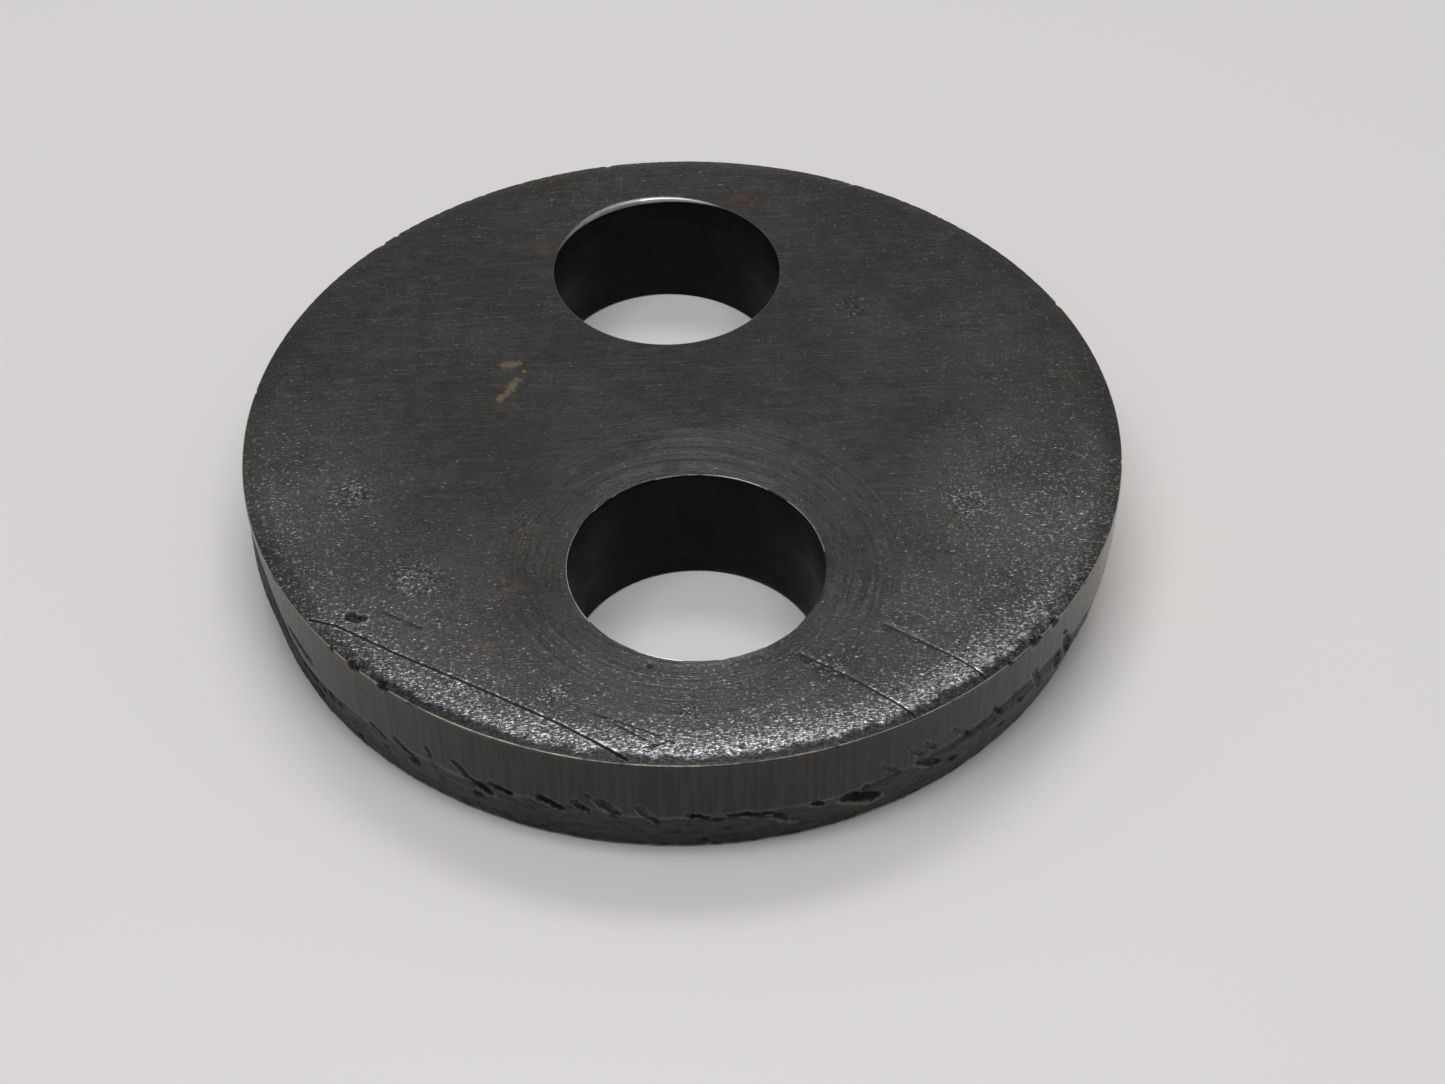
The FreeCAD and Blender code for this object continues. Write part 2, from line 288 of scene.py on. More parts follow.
class Wiring:
    """Adds nodes to a tree, geometry or shader, and joins them."""

    def __init__(self, tree):
        self.tree = tree

    def add(self, kind, values=None, **settings):
        """A node; values maps an input's name or index to a number or to another socket."""
        node = self.tree.nodes.new(kind)
        for name, setting in settings.items():
            setattr(node, name, setting)
        for key, value in (values or {}).items():
            self.put(node.inputs[key], value)
        return node

    def put(self, socket, value):
        """Sets an input to a plain value, or links it."""
        if isinstance(value, bpy.types.NodeSocket):
            self.tree.links.new(value, socket)
        else:
            socket.default_value = value

    def math(self, operation, *values, clamp=False):
        """A Math node's result."""
        node = self.add("ShaderNodeMath", dict(enumerate(values)), operation=operation,
                        use_clamp=clamp)
        return node.outputs[0]

    def vector(self, operation, *values, output=0):
        """A Vector Math node's result; a scale factor goes in by its own name."""
        node = self.add("ShaderNodeVectorMath", operation=operation)
        for place, value in enumerate(values):
            self.put(node.inputs["Scale" if operation == "SCALE" and place else place], value)
        return node.outputs[output]

    def parts(self, vector):
        """A vector's X, Y and Z."""
        return tuple(self.add("ShaderNodeSeparateXYZ", {0: vector}).outputs)

    def plan(self, place):
        """A place with its height taken away."""
        return self.vector("MULTIPLY", place, (1, 1, 0))

    def named(self, name, kind="FLOAT"):
        """A geometry's named attribute."""
        return self.add("GeometryNodeInputNamedAttribute", {"Name": name},
                        data_type=kind).outputs["Attribute"]

    def store(self, geometry, name, value):
        """The geometry with a value kept at each of its points, under that name."""
        return self.add("GeometryNodeStoreNamedAttribute", {
            "Geometry": geometry, "Name": name, "Value": value},
            data_type="FLOAT", domain="POINT").outputs[0]

    def stored(self, name):
        """A value that the relief tree stored, read in a material."""
        return self.add("ShaderNodeAttribute", attribute_name=name).outputs["Fac"]

    def gap_to_line(self, place, start, end):
        """Distance from a place to the straight line between two points."""
        run = tuple(b - a for a, b in zip(start, end))
        offset = self.vector("SUBTRACT", place, start)
        share = self.math("DIVIDE", self.vector("DOT_PRODUCT", offset, run, output=1),
                          sum(step * step for step in run), clamp=True)
        return self.vector("DISTANCE", offset, self.vector("SCALE", run, share), output=1)

    def fade(self, value, start, end, low=0.0, high=1.0):
        """low at start to high at end, with a smooth course and nothing beyond."""
        node = self.add("ShaderNodeMapRange", {"Value": value, "From Min": start,
                        "From Max": end, "To Min": low, "To Max": high},
                        interpolation_type="SMOOTHSTEP")
        return node.outputs["Result"]

    def noise(self, vector, scale, detail=3.0, roughness=0.5):
        """A Noise Texture's value, about 0.5 on average."""
        node = self.add("ShaderNodeTexNoise", {"Vector": vector, "Scale": scale,
                        "Detail": detail, "Roughness": roughness})
        return node.outputs[0]

    def mix(self, factor, first, second):
        """A colour between two."""
        node = self.add("ShaderNodeMix", data_type="RGBA")
        colour_inputs = [s for s in node.inputs if s.type == "RGBA"]
        self.put(node.inputs[0], factor)
        self.put(colour_inputs[0], first)
        self.put(colour_inputs[1], second)
        return next(s for s in node.outputs if s.type == "RGBA")


def ring(count):
    """Directions round a circle, as unit vectors, count of them."""
    angles = np.arange(count) * (2 * math.pi / count)
    return np.stack([np.cos(angles), np.sin(angles)], axis=1)


def rim_directions(count):
    """Directions round the rim, closest together at the front, where the edge is most worn."""
    steps = np.arange(count) * (2 * math.pi / count)
    angles = steps - 0.33 * np.cos(steps)
    return np.stack([np.cos(angles), np.sin(angles)], axis=1)


def roll_fall(sizes, radius):
    """How far the rolled corner has fallen at that radius: an arc, level where it starts."""
    reach, drop = sizes.roll_width, sizes.roll_drop
    arc = (reach**2 + drop**2) / (2 * drop)
    inside = np.clip(radius - (sizes.radius - reach), 0, reach)
    return arc - np.sqrt(arc**2 - inside**2)


def deburr_widths(sizes, directions, hole_radius):
    """Width of the rear bore's deburring cut in each direction: a crescent on a thin break."""
    cut, half_span = sizes.deburr_width, math.radians(59)
    shift = (2 * hole_radius + cut) / (2 * hole_radius * (1 - math.cos(half_span)) + 2 * cut)
    shift *= cut
    cutter = hole_radius + cut - shift
    towards = np.array([math.cos(sizes.deburr_angle), math.sin(sizes.deburr_angle)])
    along = directions @ towards * shift
    return np.maximum(along + np.sqrt(along**2 + cutter**2 - shift**2) - hole_radius, 0)


class Shell:
    """Collects the points and faces of the plate's skin."""

    def __init__(self):
        self.points, self.faces, self.zones = [], [], []

    def add_points(self, plan, heights):
        """Adds points, from their places in plan and their heights, and returns their
        numbers."""
        first = len(self.points)
        heights = np.broadcast_to(heights, len(plan))
        self.points.extend(map(tuple, np.column_stack([plan, heights])))
        return np.arange(first, len(self.points))

    def add_band(self, upper, lower, zone):
        """Faces between two rings of equally many points."""
        upper_next, lower_next = np.roll(upper, -1), np.roll(lower, -1)
        self.faces.extend(np.stack([upper, lower, lower_next, upper_next], axis=1).tolist())
        self.zones.extend([ZONES.index(zone)] * len(upper))

    def add_sheet(self, plan, numbers, outline, rims):
        """Fills a flat face with triangles. plan has the points' places and numbers their
        numbers in the shell; outline is the row of places round the outside, and rims are
        the bores' rings: (row of places, centre)."""
        loops = [outline, *(row for row, _ in rims)]
        edges = [(int(a), int(b)) for row in loops for a, b in zip(row, np.roll(row, -1))]
        made = delaunay_2d_cdt([Vector(p) for p in plan / MM], edges, [], 0, 1e-5)
        sources = np.array([source[0] for source in made[3]])
        triangles = sources[np.array(made[2])]
        keep = np.ones(len(triangles), bool)
        for row, centre in rims:
            keep &= ~inside_rim(plan, triangles, row, centre)
        kept = np.asarray(numbers)[triangles[keep]].tolist()
        self.faces.extend(kept)
        self.zones.extend([ZONES.index("face")] * len(kept))


def inside_rim(plan, triangles, row, centre):
    """Which triangles fill a bore: their corners all lie on its rim, and their middles in it."""
    on_rim = np.isin(triangles, row).all(axis=1)
    from_centre = plan[triangles].mean(axis=1) - centre
    turn = np.arctan2(from_centre[:, 1], from_centre[:, 0]) % (2 * math.pi)
    turns = np.arange(len(row)) * (2 * math.pi / len(row))
    rim_radii = np.linalg.norm(plan[row] - centre, axis=1)
    rim_radius = np.interp(turn, turns, rim_radii, period=2 * math.pi)
    return on_rim & (np.linalg.norm(from_centre, axis=1) < rim_radius)


def lattice(reach, spacing, rims, gap):
    """Points of a triangular lattice inside a circle, at least a gap away from the rims."""
    rows = math.ceil(reach / (spacing * math.sqrt(0.75)))
    places = [((i + (j % 2) / 2) * spacing, j * spacing * math.sqrt(0.75))
              for j in range(-rows, rows + 1) for i in range(-rows - 1, rows + 2)]
    places = np.array(places)
    keep = np.linalg.norm(places, axis=1) < reach
    for _, rim, centre in rims:
        outside = np.linalg.norm(places - centre, axis=1)
        widest = np.linalg.norm(rim - centre, axis=1).max()
        narrowest = np.linalg.norm(rim - centre, axis=1).min()
        keep &= outside > narrowest
        close = np.flatnonzero(keep & (outside < widest + 2 * gap))
        gaps = np.linalg.norm(places[close][:, None] - rim[None], axis=2).min(axis=1)
        turn = np.arctan2(*(places[close] - centre).T[::-1]) % (2 * math.pi)
        turns = np.arange(len(rim)) * (2 * math.pi / len(rim))
        edge = np.interp(turn, turns, np.linalg.norm(rim - centre, axis=1), period=2 * math.pi)
        keep[close] = (gaps > gap) & (outside[close] > edge)
    return places[keep]


def score_path(points, spacing):
    """Evenly spaced points along a scored line, and the line's sideways direction at each."""
    corners = np.array(points) * MM
    steps = np.linalg.norm(np.diff(corners, axis=0), axis=1)
    along = np.concatenate([[0], np.cumsum(steps)])
    places = np.linspace(0, along[-1], max(3, round(along[-1] / spacing)))
    path = np.stack([np.interp(places, along, corners[:, k]) for k in (0, 1)], axis=1)
    tangents = np.gradient(path, axis=0)
    tangents /= np.linalg.norm(tangents, axis=1, keepdims=True)
    return path, np.stack([-tangents[:, 1], tangents[:, 0]], axis=1)


def score_points(wear, limit):
    """Places of the mesh points that the scored lines need: a floor, two walls, two lips."""
    rows = []
    for _, points in SCORES:
        path, side = score_path(points, 0.4 * MM)
        for share in (0, -0.5, 0.5, -1.1, 1.1):
            rows.append(path + side * (share * wear.score_width))
    places = np.concatenate(rows)
    return places[np.linalg.norm(places, axis=1) < limit]


def dent_points(limit):
    """Places of the mesh points that the dents need: rings round each one's middle."""
    rows = []
    for x, y, reach, _ in DENTS:
        middle = np.array([x, y]) * MM
        rows.append(middle[None])
        for share, count in ((0.35, 6), (0.7, 10), (1.0, 14), (1.3, 16)):
            rows.append(middle + ring(count) * (share * reach * MM))
    places = np.concatenate(rows)
    return places[np.linalg.norm(places, axis=1) < limit]


def at_front(places):
    """Which places lie in the gritty front of the top face's rim."""
    away = np.linalg.norm(places, axis=1)
    return (away > 42.5 * MM) & (-places[:, 1] > 0.33 * away)


def clear_of(places, others, gap):
    """The places that are at least a gap away from all the others."""
    cells = {}
    for x, y in others:
        cells.setdefault((int(x // gap), int(y // gap)), []).append((x, y))
    kept = []
    for x, y in places:
        i, j = int(x // gap), int(y // gap)
        near = [p for a in (i - 1, i, i + 1) for b in (j - 1, j, j + 1)
                for p in cells.get((a, b), ())]
        if all((x - a) ** 2 + (y - b) ** 2 >= gap * gap for a, b in near):
            kept.append((x, y))
    return np.array(kept)


def add_top_face(shell, sizes, wear, rims):
    """The top face, with the rolled corner. rims are the bores' upper rings: (numbers,
    places, centre). Returns the outer ring's numbers."""
    columns = rim_directions(880)
    insets = np.array([0.1, 0.3, 0.65, 1.15, 1.7, 2.35, 3.0]) * MM
    rings = [columns * (sizes.radius - inset) for inset in insets]
    limit = sizes.radius - 0.2 * MM
    marks = np.concatenate([score_points(wear, limit), dent_points(limit)])
    marks = clear_of(marks, rings[0], 0.15 * MM)
    rows = [clear_of(rings[1], marks, 0.15 * MM)]
    rows += [clear_of(r[~at_front(r)], marks, 0.3 * MM) for r in rings[2:]]
    close = lattice(sizes.radius - 0.6 * MM, 0.33 * MM, rims, 0.3 * MM)
    close = clear_of(close[at_front(close)], marks, 0.2 * MM)
    placed = np.concatenate([marks, *rows, close])
    wide = lattice(sizes.radius - 3.4 * MM, 0.72 * MM, rims, 0.4 * MM)
    wide = clear_of(wide[~at_front(wide)], placed, 0.4 * MM)
    fresh = np.concatenate([rings[0], placed, wide])
    heights = sizes.thickness - roll_fall(sizes, np.linalg.norm(fresh, axis=1))
    numbers = shell.add_points(fresh, heights)
    fill_between(shell, numbers, fresh, len(columns), rims)
    return numbers[:len(columns)]


def fill_between(shell, numbers, fresh, outline_count, rims):
    """Fills a face whose first fresh points are its outline, up to the bores' rims."""
    plan = np.concatenate([fresh, *(places for _, places, _ in rims)])
    everything = np.concatenate([numbers, *(n for n, _, _ in rims)])
    rows, first = [], len(fresh)
    for rim_numbers, _, centre in rims:
        rows.append((np.arange(first, first + len(rim_numbers)), centre))
        first += len(rim_numbers)
    shell.add_sheet(plan, everything, np.arange(outline_count), rows)


def add_wall(shell, sizes, top_ring):
    """The blanked edge, from the worn corner down to the foot, whose last row turns under a
    little. Returns the foot's ring and its places."""
    columns = rim_directions(len(top_ring))
    corner = sizes.thickness - sizes.roll_drop - sizes.edge_break
    heights = np.concatenate([[corner, corner - 0.15 * MM],
                              np.linspace(corner - 0.4 * MM, 0.35 * MM, 42), [0.0]])
    bearings = np.degrees(np.arctan2(columns[:, 1], columns[:, 0]))
    land_foot = np.full(len(columns), sizes.land_foot)
    for angle, reach, rise in FOOT_RISES:
        aside = np.abs((bearings - angle + 180) % 360 - 180) / reach
        land_foot += rise * MM * np.clip(1.4 * (1 - aside), 0, 1)
    upper, zone = top_ring, "bright"
    for height in heights:
        drawn = np.maximum(0, 1 - height / land_foot)
        radius = sizes.radius + drawn * (sizes.foot_radius - sizes.radius)
        if height == 0:
            radius -= 0.4 * MM
        places = columns * radius[:, None]
        places[:, 0] -= drawn * sizes.foot_shift
        lower = shell.add_points(places, height)
        shell.add_band(upper, lower, zone)
        upper, zone = lower, "wall"
    return upper, places


def add_bore(shell, sizes, name, breaks):
    """One bore's wall. breaks holds the width of the cut at its upper edge in each
    direction. Returns the upper ring and its places, then the lower ring and its places."""
    radius, centre = bore_radius(name), np.array(bore_centre(name))
    columns, lower_break = ring(len(breaks)), 0.25 * MM
    top_places = centre + columns * (radius + breaks)[:, None]
    top = upper = shell.add_points(top_places, sizes.thickness)
    for share in (0.75, 0.45, 0.2, 0.0):
        rows = radius + breaks * share
        heights = sizes.thickness - breaks * (1 - math.sin(share * math.pi / 2))
        lower = shell.add_points(centre + columns * rows[:, None], heights)
        shell.add_band(upper, lower, "cut")
        upper = lower
    start = sizes.thickness - breaks
    for step in np.linspace(0, 1, 25)[1:]:
        heights = start + (lower_break - start) * step
        lower = shell.add_points(centre + columns * radius, heights)
        shell.add_band(upper, lower, "bore")
        upper = lower
    foot_places = centre + columns * (radius + lower_break)
    foot = shell.add_points(foot_places, 0)
    shell.add_band(upper, foot, "bore")
    return top, top_places, foot, foot_places


def add_bottom_face(shell, sizes, outer, outer_places, rims):
    """The bottom face, between the foot and the bores' lower rings."""
    inner = lattice(sizes.radius - 4 * MM, 3.0 * MM, rims, 1.2 * MM)
    numbers = shell.add_points(inner, 0)
    fill_between(shell, np.concatenate([outer, numbers]),
                 np.concatenate([outer_places, inner]), len(outer), rims)


def blank_mesh(sizes, wear):
    """The plate's skin before wear: a closed mesh whose faces know their zone."""
    shell = Shell()
    directions = ring(216)
    crescent = deburr_widths(sizes, directions, bore_radius("rear_bore"))
    breaks = {"front_bore": np.full(len(directions), 0.12 * MM),
              "rear_bore": np.maximum(crescent, 0.08 * MM)}
    upper_rims, lower_rims = [], []
    for name, widths in breaks.items():
        top, top_places, foot, foot_places = add_bore(shell, sizes, name, widths)
        centre = np.array(bore_centre(name))
        upper_rims.append((top, top_places, centre))
        lower_rims.append((foot, foot_places, centre))
    top_ring = add_top_face(shell, sizes, wear, upper_rims)
    foot_ring, foot_places = add_wall(shell, sizes, top_ring)
    add_bottom_face(shell, sizes, foot_ring, foot_places, lower_rims)
    mesh = bpy.data.meshes.new("plate_blank")
    mesh.from_pydata(shell.points, [], shell.faces)
    zones = mesh.attributes.new("zone", "INT", "FACE")
    zones.data.foreach_set("value", shell.zones)
    cleaner = bmesh.new()
    cleaner.from_mesh(mesh)
    bmesh.ops.recalc_face_normals(cleaner, faces=cleaner.faces)
    open_edges = sum(not edge.is_manifold for edge in cleaner.edges)
    cleaner.to_mesh(mesh)
    cleaner.free()
    if open_edges:
        raise RuntimeError(f"the plate's skin has {open_edges} open edges")
    return mesh


def link(name, data):
    """A new object in the scene."""
    made = bpy.data.objects.new(name, data)
    bpy.context.collection.objects.link(made)
    return made


def score_curves(sizes):
    """The scored lines as curves on the top face; each point's radius is its depth share."""
    curve = bpy.data.curves.new("score_lines", "CURVE")
    curve.dimensions = "3D"
    for share, points in SCORES:
        spline = curve.splines.new("POLY")
        spline.points.add(len(points) - 1)
        for place, (x, y) in zip(spline.points, points):
            place.co = (x * MM, y * MM, sizes.thickness, 1)
            place.radius = share
    return link("score_lines", curve)


def mark_points(sizes):
    """Every dent, nick and gouge as points that carry a reach and a depth."""
    marks = []
    for x, y, reach, depth in DENTS:
        marks.append((x, y, sizes.thickness / MM, reach, depth))
    corner = (sizes.thickness - sizes.roll_drop) / MM
    radius = sizes.radius / MM
    for angle, reach, depth in NICKS:
        turn = math.radians(angle)
        marks.append((radius * math.cos(turn), radius * math.sin(turn), corner, reach, depth))
    for (angle_a, height_a), (angle_b, height_b), reach, depth in GOUGES:
        length = math.hypot(math.radians(angle_b - angle_a) * radius, height_b - height_a)
        count = max(2, math.ceil(length / (0.4 * reach)))
        for share in np.linspace(0, 1, count):
            turn = math.radians(angle_a + share * (angle_b - angle_a))
            height = height_a + share * (height_b - height_a)
            marks.append((radius * math.cos(turn), radius * math.sin(turn), height, reach,
                          depth * (0.7 + 0.3 * math.sin(share * math.pi))))
    marks = np.array(marks) * MM
    mesh = bpy.data.meshes.new("wear_marks")
    mesh.from_pydata(marks[:, :3].tolist(), [], [])
    for name, column in (("reach", 3), ("depth", 4)):
        attribute = mesh.attributes.new(name, "FLOAT", "POINT")
        attribute.data.foreach_set("value", marks[:, column].astype(np.float32))
    return link("wear_marks", mesh)


RELIEF_INPUTS = [
    ("Radius", "NodeSocketFloat"), ("Thickness", "NodeSocketFloat"),
    ("Land Foot", "NodeSocketFloat"), ("Tear Depth", "NodeSocketFloat"),
    ("Streak Depth", "NodeSocketFloat"), ("Ring Depth", "NodeSocketFloat"),
    ("Ring Pitch", "NodeSocketFloat"), ("Wave Depth", "NodeSocketFloat"),
    ("Ledge Depth", "NodeSocketFloat"), ("Grit Depth", "NodeSocketFloat"),
    ("Pit Depth", "NodeSocketFloat"), ("Pit Size", "NodeSocketFloat"),
    ("Score Depth", "NodeSocketFloat"), ("Score Width", "NodeSocketFloat"),
    ("Seed", "NodeSocketInt"), ("Scores", "NodeSocketObject"), ("Marks", "NodeSocketObject"),
    ("Face", "NodeSocketMaterial"), ("Wall", "NodeSocketMaterial"),
    ("Bore", "NodeSocketMaterial"), ("Bright", "NodeSocketMaterial"),
    ("Cut", "NodeSocketMaterial"),
]


def relief_tree():
    """The node tree that wears the plate: every depth is measured into the metal. It keeps
    three values at each point for the materials: how much darker a hollow is made, by its
    depth, how "torn" the steel is, and how far it stands up as a "lip"."""
    tree = bpy.data.node_groups.new("plate_relief", "GeometryNodeTree")
    tree.interface.new_socket("Geometry", in_out="INPUT", socket_type="NodeSocketGeometry")
    for name, kind in RELIEF_INPUTS:
        tree.interface.new_socket(name, in_out="INPUT", socket_type=kind)
    tree.interface.new_socket("Geometry", in_out="OUTPUT", socket_type="NodeSocketGeometry")
    w = Wiring(tree)
    given = w.add("NodeGroupInput").outputs
    place = w.add("GeometryNodeInputPosition").outputs[0]
    normal = w.add("GeometryNodeInputNormal").outputs[0]
    zone = w.named("zone", "INT")
    is_zone = {name: w.add("FunctionNodeCompare", {2: zone, 3: number}, data_type="INT",
                           operation="EQUAL").outputs[0] for number, name in enumerate(ZONES)}
    seed_shift = w.add("ShaderNodeCombineXYZ", {0: w.math("MULTIPLY", given["Seed"], 17.3)})
    grain = w.vector("ADD", w.vector("SCALE", place, 1 / MM), seed_shift.outputs[0])
    on_face = w.fade(w.parts(normal)[2], 0.75, 0.9)

    wall_depth, torn = wall_relief(w, given, place, grain)
    face_depth = face_relief(w, given, place, grain, on_face)
    bore_depth = w.math("MULTIPLY", bore_relief(w, given, grain), is_zone["bore"])

    pits = scattered_pits(w, given, torn)
    ragged = w.math("MULTIPLY", w.math("SUBTRACT", w.noise(grain, 1.1, 3.0, 0.6), 0.5), 1.1)
    pit = hollow_at_nearest(w, pits, place, given["Pit Size"], given["Pit Depth"], ragged)
    marks = w.add("GeometryNodeObjectInfo", {"Object": given["Marks"]}).outputs["Geometry"]
    mark, mark_lip = hollow_at_mark(w, marks, place, ragged)
    groove, groove_lip = score_groove(w, given, place, on_face)

    hollow = w.math("ADD", pit, mark)
    lips = w.math("ADD", mark_lip, groove_lip)
    depth = w.math("ADD", w.math("ADD", wall_depth, face_depth), bore_depth)
    depth = w.math("MAXIMUM", w.math("SUBTRACT", depth, lips), 0.0)
    depth = w.math("ADD", w.math("ADD", depth, hollow), groove)
    # Colour made darker in the hollows, by their depth: scores, dents, nicks, gouges and pits.
    dirt = w.math("MAXIMUM", w.fade(hollow, 0.05 * MM, 0.28 * MM),
                  w.fade(groove, 0.0, 0.045 * MM))
    marked = w.store(given["Geometry"], "dirt", dirt)
    marked = w.store(marked, "torn", torn)
    marked = w.store(marked, "lip", w.fade(lips, 0.0, 0.03 * MM))
    moved = w.add("GeometryNodeSetPosition", {
        "Geometry": marked,
        "Offset": w.vector("SCALE", normal, w.math("MULTIPLY", depth, -1.0))}).outputs[0]
    solid = w.add("GeometryNodeRealizeInstances", {0: moved}).outputs[0]
    for name in ZONES:
        solid = w.add("GeometryNodeSetMaterial", {
            "Geometry": solid, "Selection": is_zone[name],
            "Material": given[name.capitalize()]}).outputs[0]
    out = w.add("NodeGroupOutput")
    w.put(out.inputs[0], solid)
    return tree


def wall_relief(w, given, place, grain):
    """The blanked edge: depth of its upright streaks and of the torn zone below the land,
    and where that zone is."""
    away = w.vector("LENGTH", w.plan(place), output=1)
    height = w.parts(place)[2]
    rim = w.fade(away, w.math("SUBTRACT", given["Radius"], 4.0 * MM),
                 w.math("SUBTRACT", given["Radius"], 3.2 * MM))
    side = w.fade(height, w.math("SUBTRACT", given["Thickness"], 0.62 * MM),
                  w.math("SUBTRACT", given["Thickness"], 0.9 * MM))
    on_wall = w.math("MULTIPLY", rim, side)

    wander = w.noise(w.vector("MULTIPLY", grain, (1, 1, 0.1)), 0.12, 4.0)
    limit = w.math("ADD", given["Land Foot"],
                   w.math("MULTIPLY", w.math("SUBTRACT", wander, 0.5), 4.0 * MM))
    for angle, reach, rise in TEAR_RISES:
        turn = math.radians(angle)
        towards = w.vector("SCALE", (math.cos(turn), math.sin(turn), 0), given["Radius"])
        gap = w.vector("DISTANCE", w.plan(place), towards, output=1)
        limit = w.math("ADD", limit, w.fade(gap, reach * MM, 0.0, 0.0, rise * MM))
    torn = w.fade(w.math("SUBTRACT", height, limit), 0.25 * MM, -0.35 * MM)
    torn = w.math("MULTIPLY", torn, on_wall)

    coarse = w.noise(w.vector("MULTIPLY", grain, (1, 1, 1.6)), 0.55, 5.0, 0.62)
    fine = w.noise(w.vector("MULTIPLY", grain, (1, 1, 1.3)), 1.7, 2.0, 0.5)
    tear = w.math("ADD", w.fade(coarse, 0.38, 0.72),
                  w.math("MULTIPLY", w.fade(fine, 0.35, 0.7), 0.45))
    tear = w.math("ADD", w.math("MULTIPLY", tear, given["Tear Depth"]), given["Ledge Depth"])
    streaks = w.noise(w.vector("MULTIPLY", grain, (1, 1, 0.06)), 0.9, 2.0)
    streaks = w.math("MULTIPLY", w.math("ADD", w.math("MULTIPLY", streaks, 2.0), 0.6),
                     given["Streak Depth"])
    depth = w.math("ADD", w.math("MULTIPLY", tear, torn), w.math("MULTIPLY", streaks, on_wall))
    return depth, torn


def face_relief(w, given, place, grain, on_face):
    """The top face: depth of its slow hollows, and of the grit on its front rim."""
    hollows = w.noise(grain, 0.07, 2.0)
    wave = w.math("MULTIPLY", w.math("ADD", hollows, 0.3), given["Wave Depth"])
    away = w.vector("LENGTH", w.plan(place), output=1)
    forward = w.math("DIVIDE", w.parts(place)[1], away)
    near = w.math("MULTIPLY", w.fade(forward, -0.35, -0.6), w.fade(away, 42.0 * MM, 47.0 * MM))
    grit = w.fade(w.noise(grain, 1.5, 3.0, 0.6), 0.35, 0.7)
    grit = w.math("MULTIPLY", w.math("MULTIPLY", grit, near), given["Grit Depth"])
    return w.math("MULTIPLY", w.math("ADD", wave, grit), on_face)


def bore_relief(w, given, grain):
    """Depth of the tool's rings in the bores."""
    ring_place = w.vector("MULTIPLY", grain, (0.04, 0.04, 1))
    ring_noise = w.noise(ring_place, w.math("DIVIDE", MM, given["Ring Pitch"]), 2.5, 0.6)
    return w.math("MULTIPLY", w.fade(ring_noise, 0.3, 0.7), given["Ring Depth"])


def scattered_pits(w, given, torn):
    """Points strewn over the torn zone, each with a random share of the largest size."""
    strewn = w.add("GeometryNodeDistributePointsOnFaces", {
        "Mesh": given["Geometry"], "Selection": w.math("GREATER_THAN", torn, 0.5),
        "Distance Min": 1.9 * MM, "Density Max": 90000.0, "Seed": given["Seed"]},
        distribute_method="POISSON")
    chance = w.add("FunctionNodeRandomValue", {"Seed": w.math("ADD", given["Seed"], 1)},
                   data_type="FLOAT").outputs[1]
    return w.store(strewn.outputs["Points"], "chance", chance)


def score_groove(w, given, place, on_face):
    """The scored lines: the groove's depth, and the height of the low lip on each side."""
    scores = w.add("GeometryNodeObjectInfo", {"Object": given["Scores"]}).outputs["Geometry"]
    spaced = w.add("GeometryNodeResampleCurve", {"Curve": scores, "Length": 0.3 * MM},
                   mode="LENGTH").outputs[0]
    shared = w.store(spaced, "share", w.add("GeometryNodeInputRadius").outputs[0])
    lines = w.add("GeometryNodeCurveToMesh", {"Curve": shared}).outputs[0]
    level = w.add("ShaderNodeCombineXYZ", {2: given["Thickness"]}).outputs[0]
    above = w.vector("ADD", w.plan(place), level)
    nearest = w.add("GeometryNodeProximity", {0: lines, "Sample Position": above},
                    target_element="EDGES")
    aside = w.math("DIVIDE", nearest.outputs["Distance"], given["Score Width"])
    index = w.add("GeometryNodeSampleNearest", {"Geometry": lines, "Sample Position": above},
                  domain="POINT").outputs[0]
    share = sampled(w, lines, w.named("share"), index, "FLOAT")
    share = w.math("MULTIPLY", w.math("MULTIPLY", share, on_face), given["Score Depth"])
    groove = w.fade(aside, 0.7, 0.2)
    lip = w.math("MULTIPLY", w.fade(aside, 0.5, 0.9), w.fade(aside, 1.6, 1.1))
    return (w.math("MULTIPLY", groove, share),
            w.math("MULTIPLY", w.math("MULTIPLY", lip, 0.25), share))


def hollow_at_nearest(w, points, place, size, depth, ragged):
    """Depth of the hollow round the nearest scattered point; chance sizes each one."""
    index = w.add("GeometryNodeSampleNearest", {"Geometry": points}, domain="POINT").outputs[0]
    share = sampled(w, points, w.named("chance"), index, "FLOAT")
    centre = sampled(w, points, place, index, "FLOAT_VECTOR")
    away = w.vector("DISTANCE", place, centre, output=1)
    share = w.math("MULTIPLY", share, share)
    reach = w.math("MULTIPLY", size, w.math("ADD", w.math("MULTIPLY", share, 0.7), 0.3))
    inside = w.fade(w.math("ADD", w.math("DIVIDE", away, reach), ragged), 1.0, 0.45)
    return w.math("MULTIPLY", w.math("MULTIPLY", inside, depth),
                  w.math("ADD", w.math("MULTIPLY", share, 0.8), 0.2))


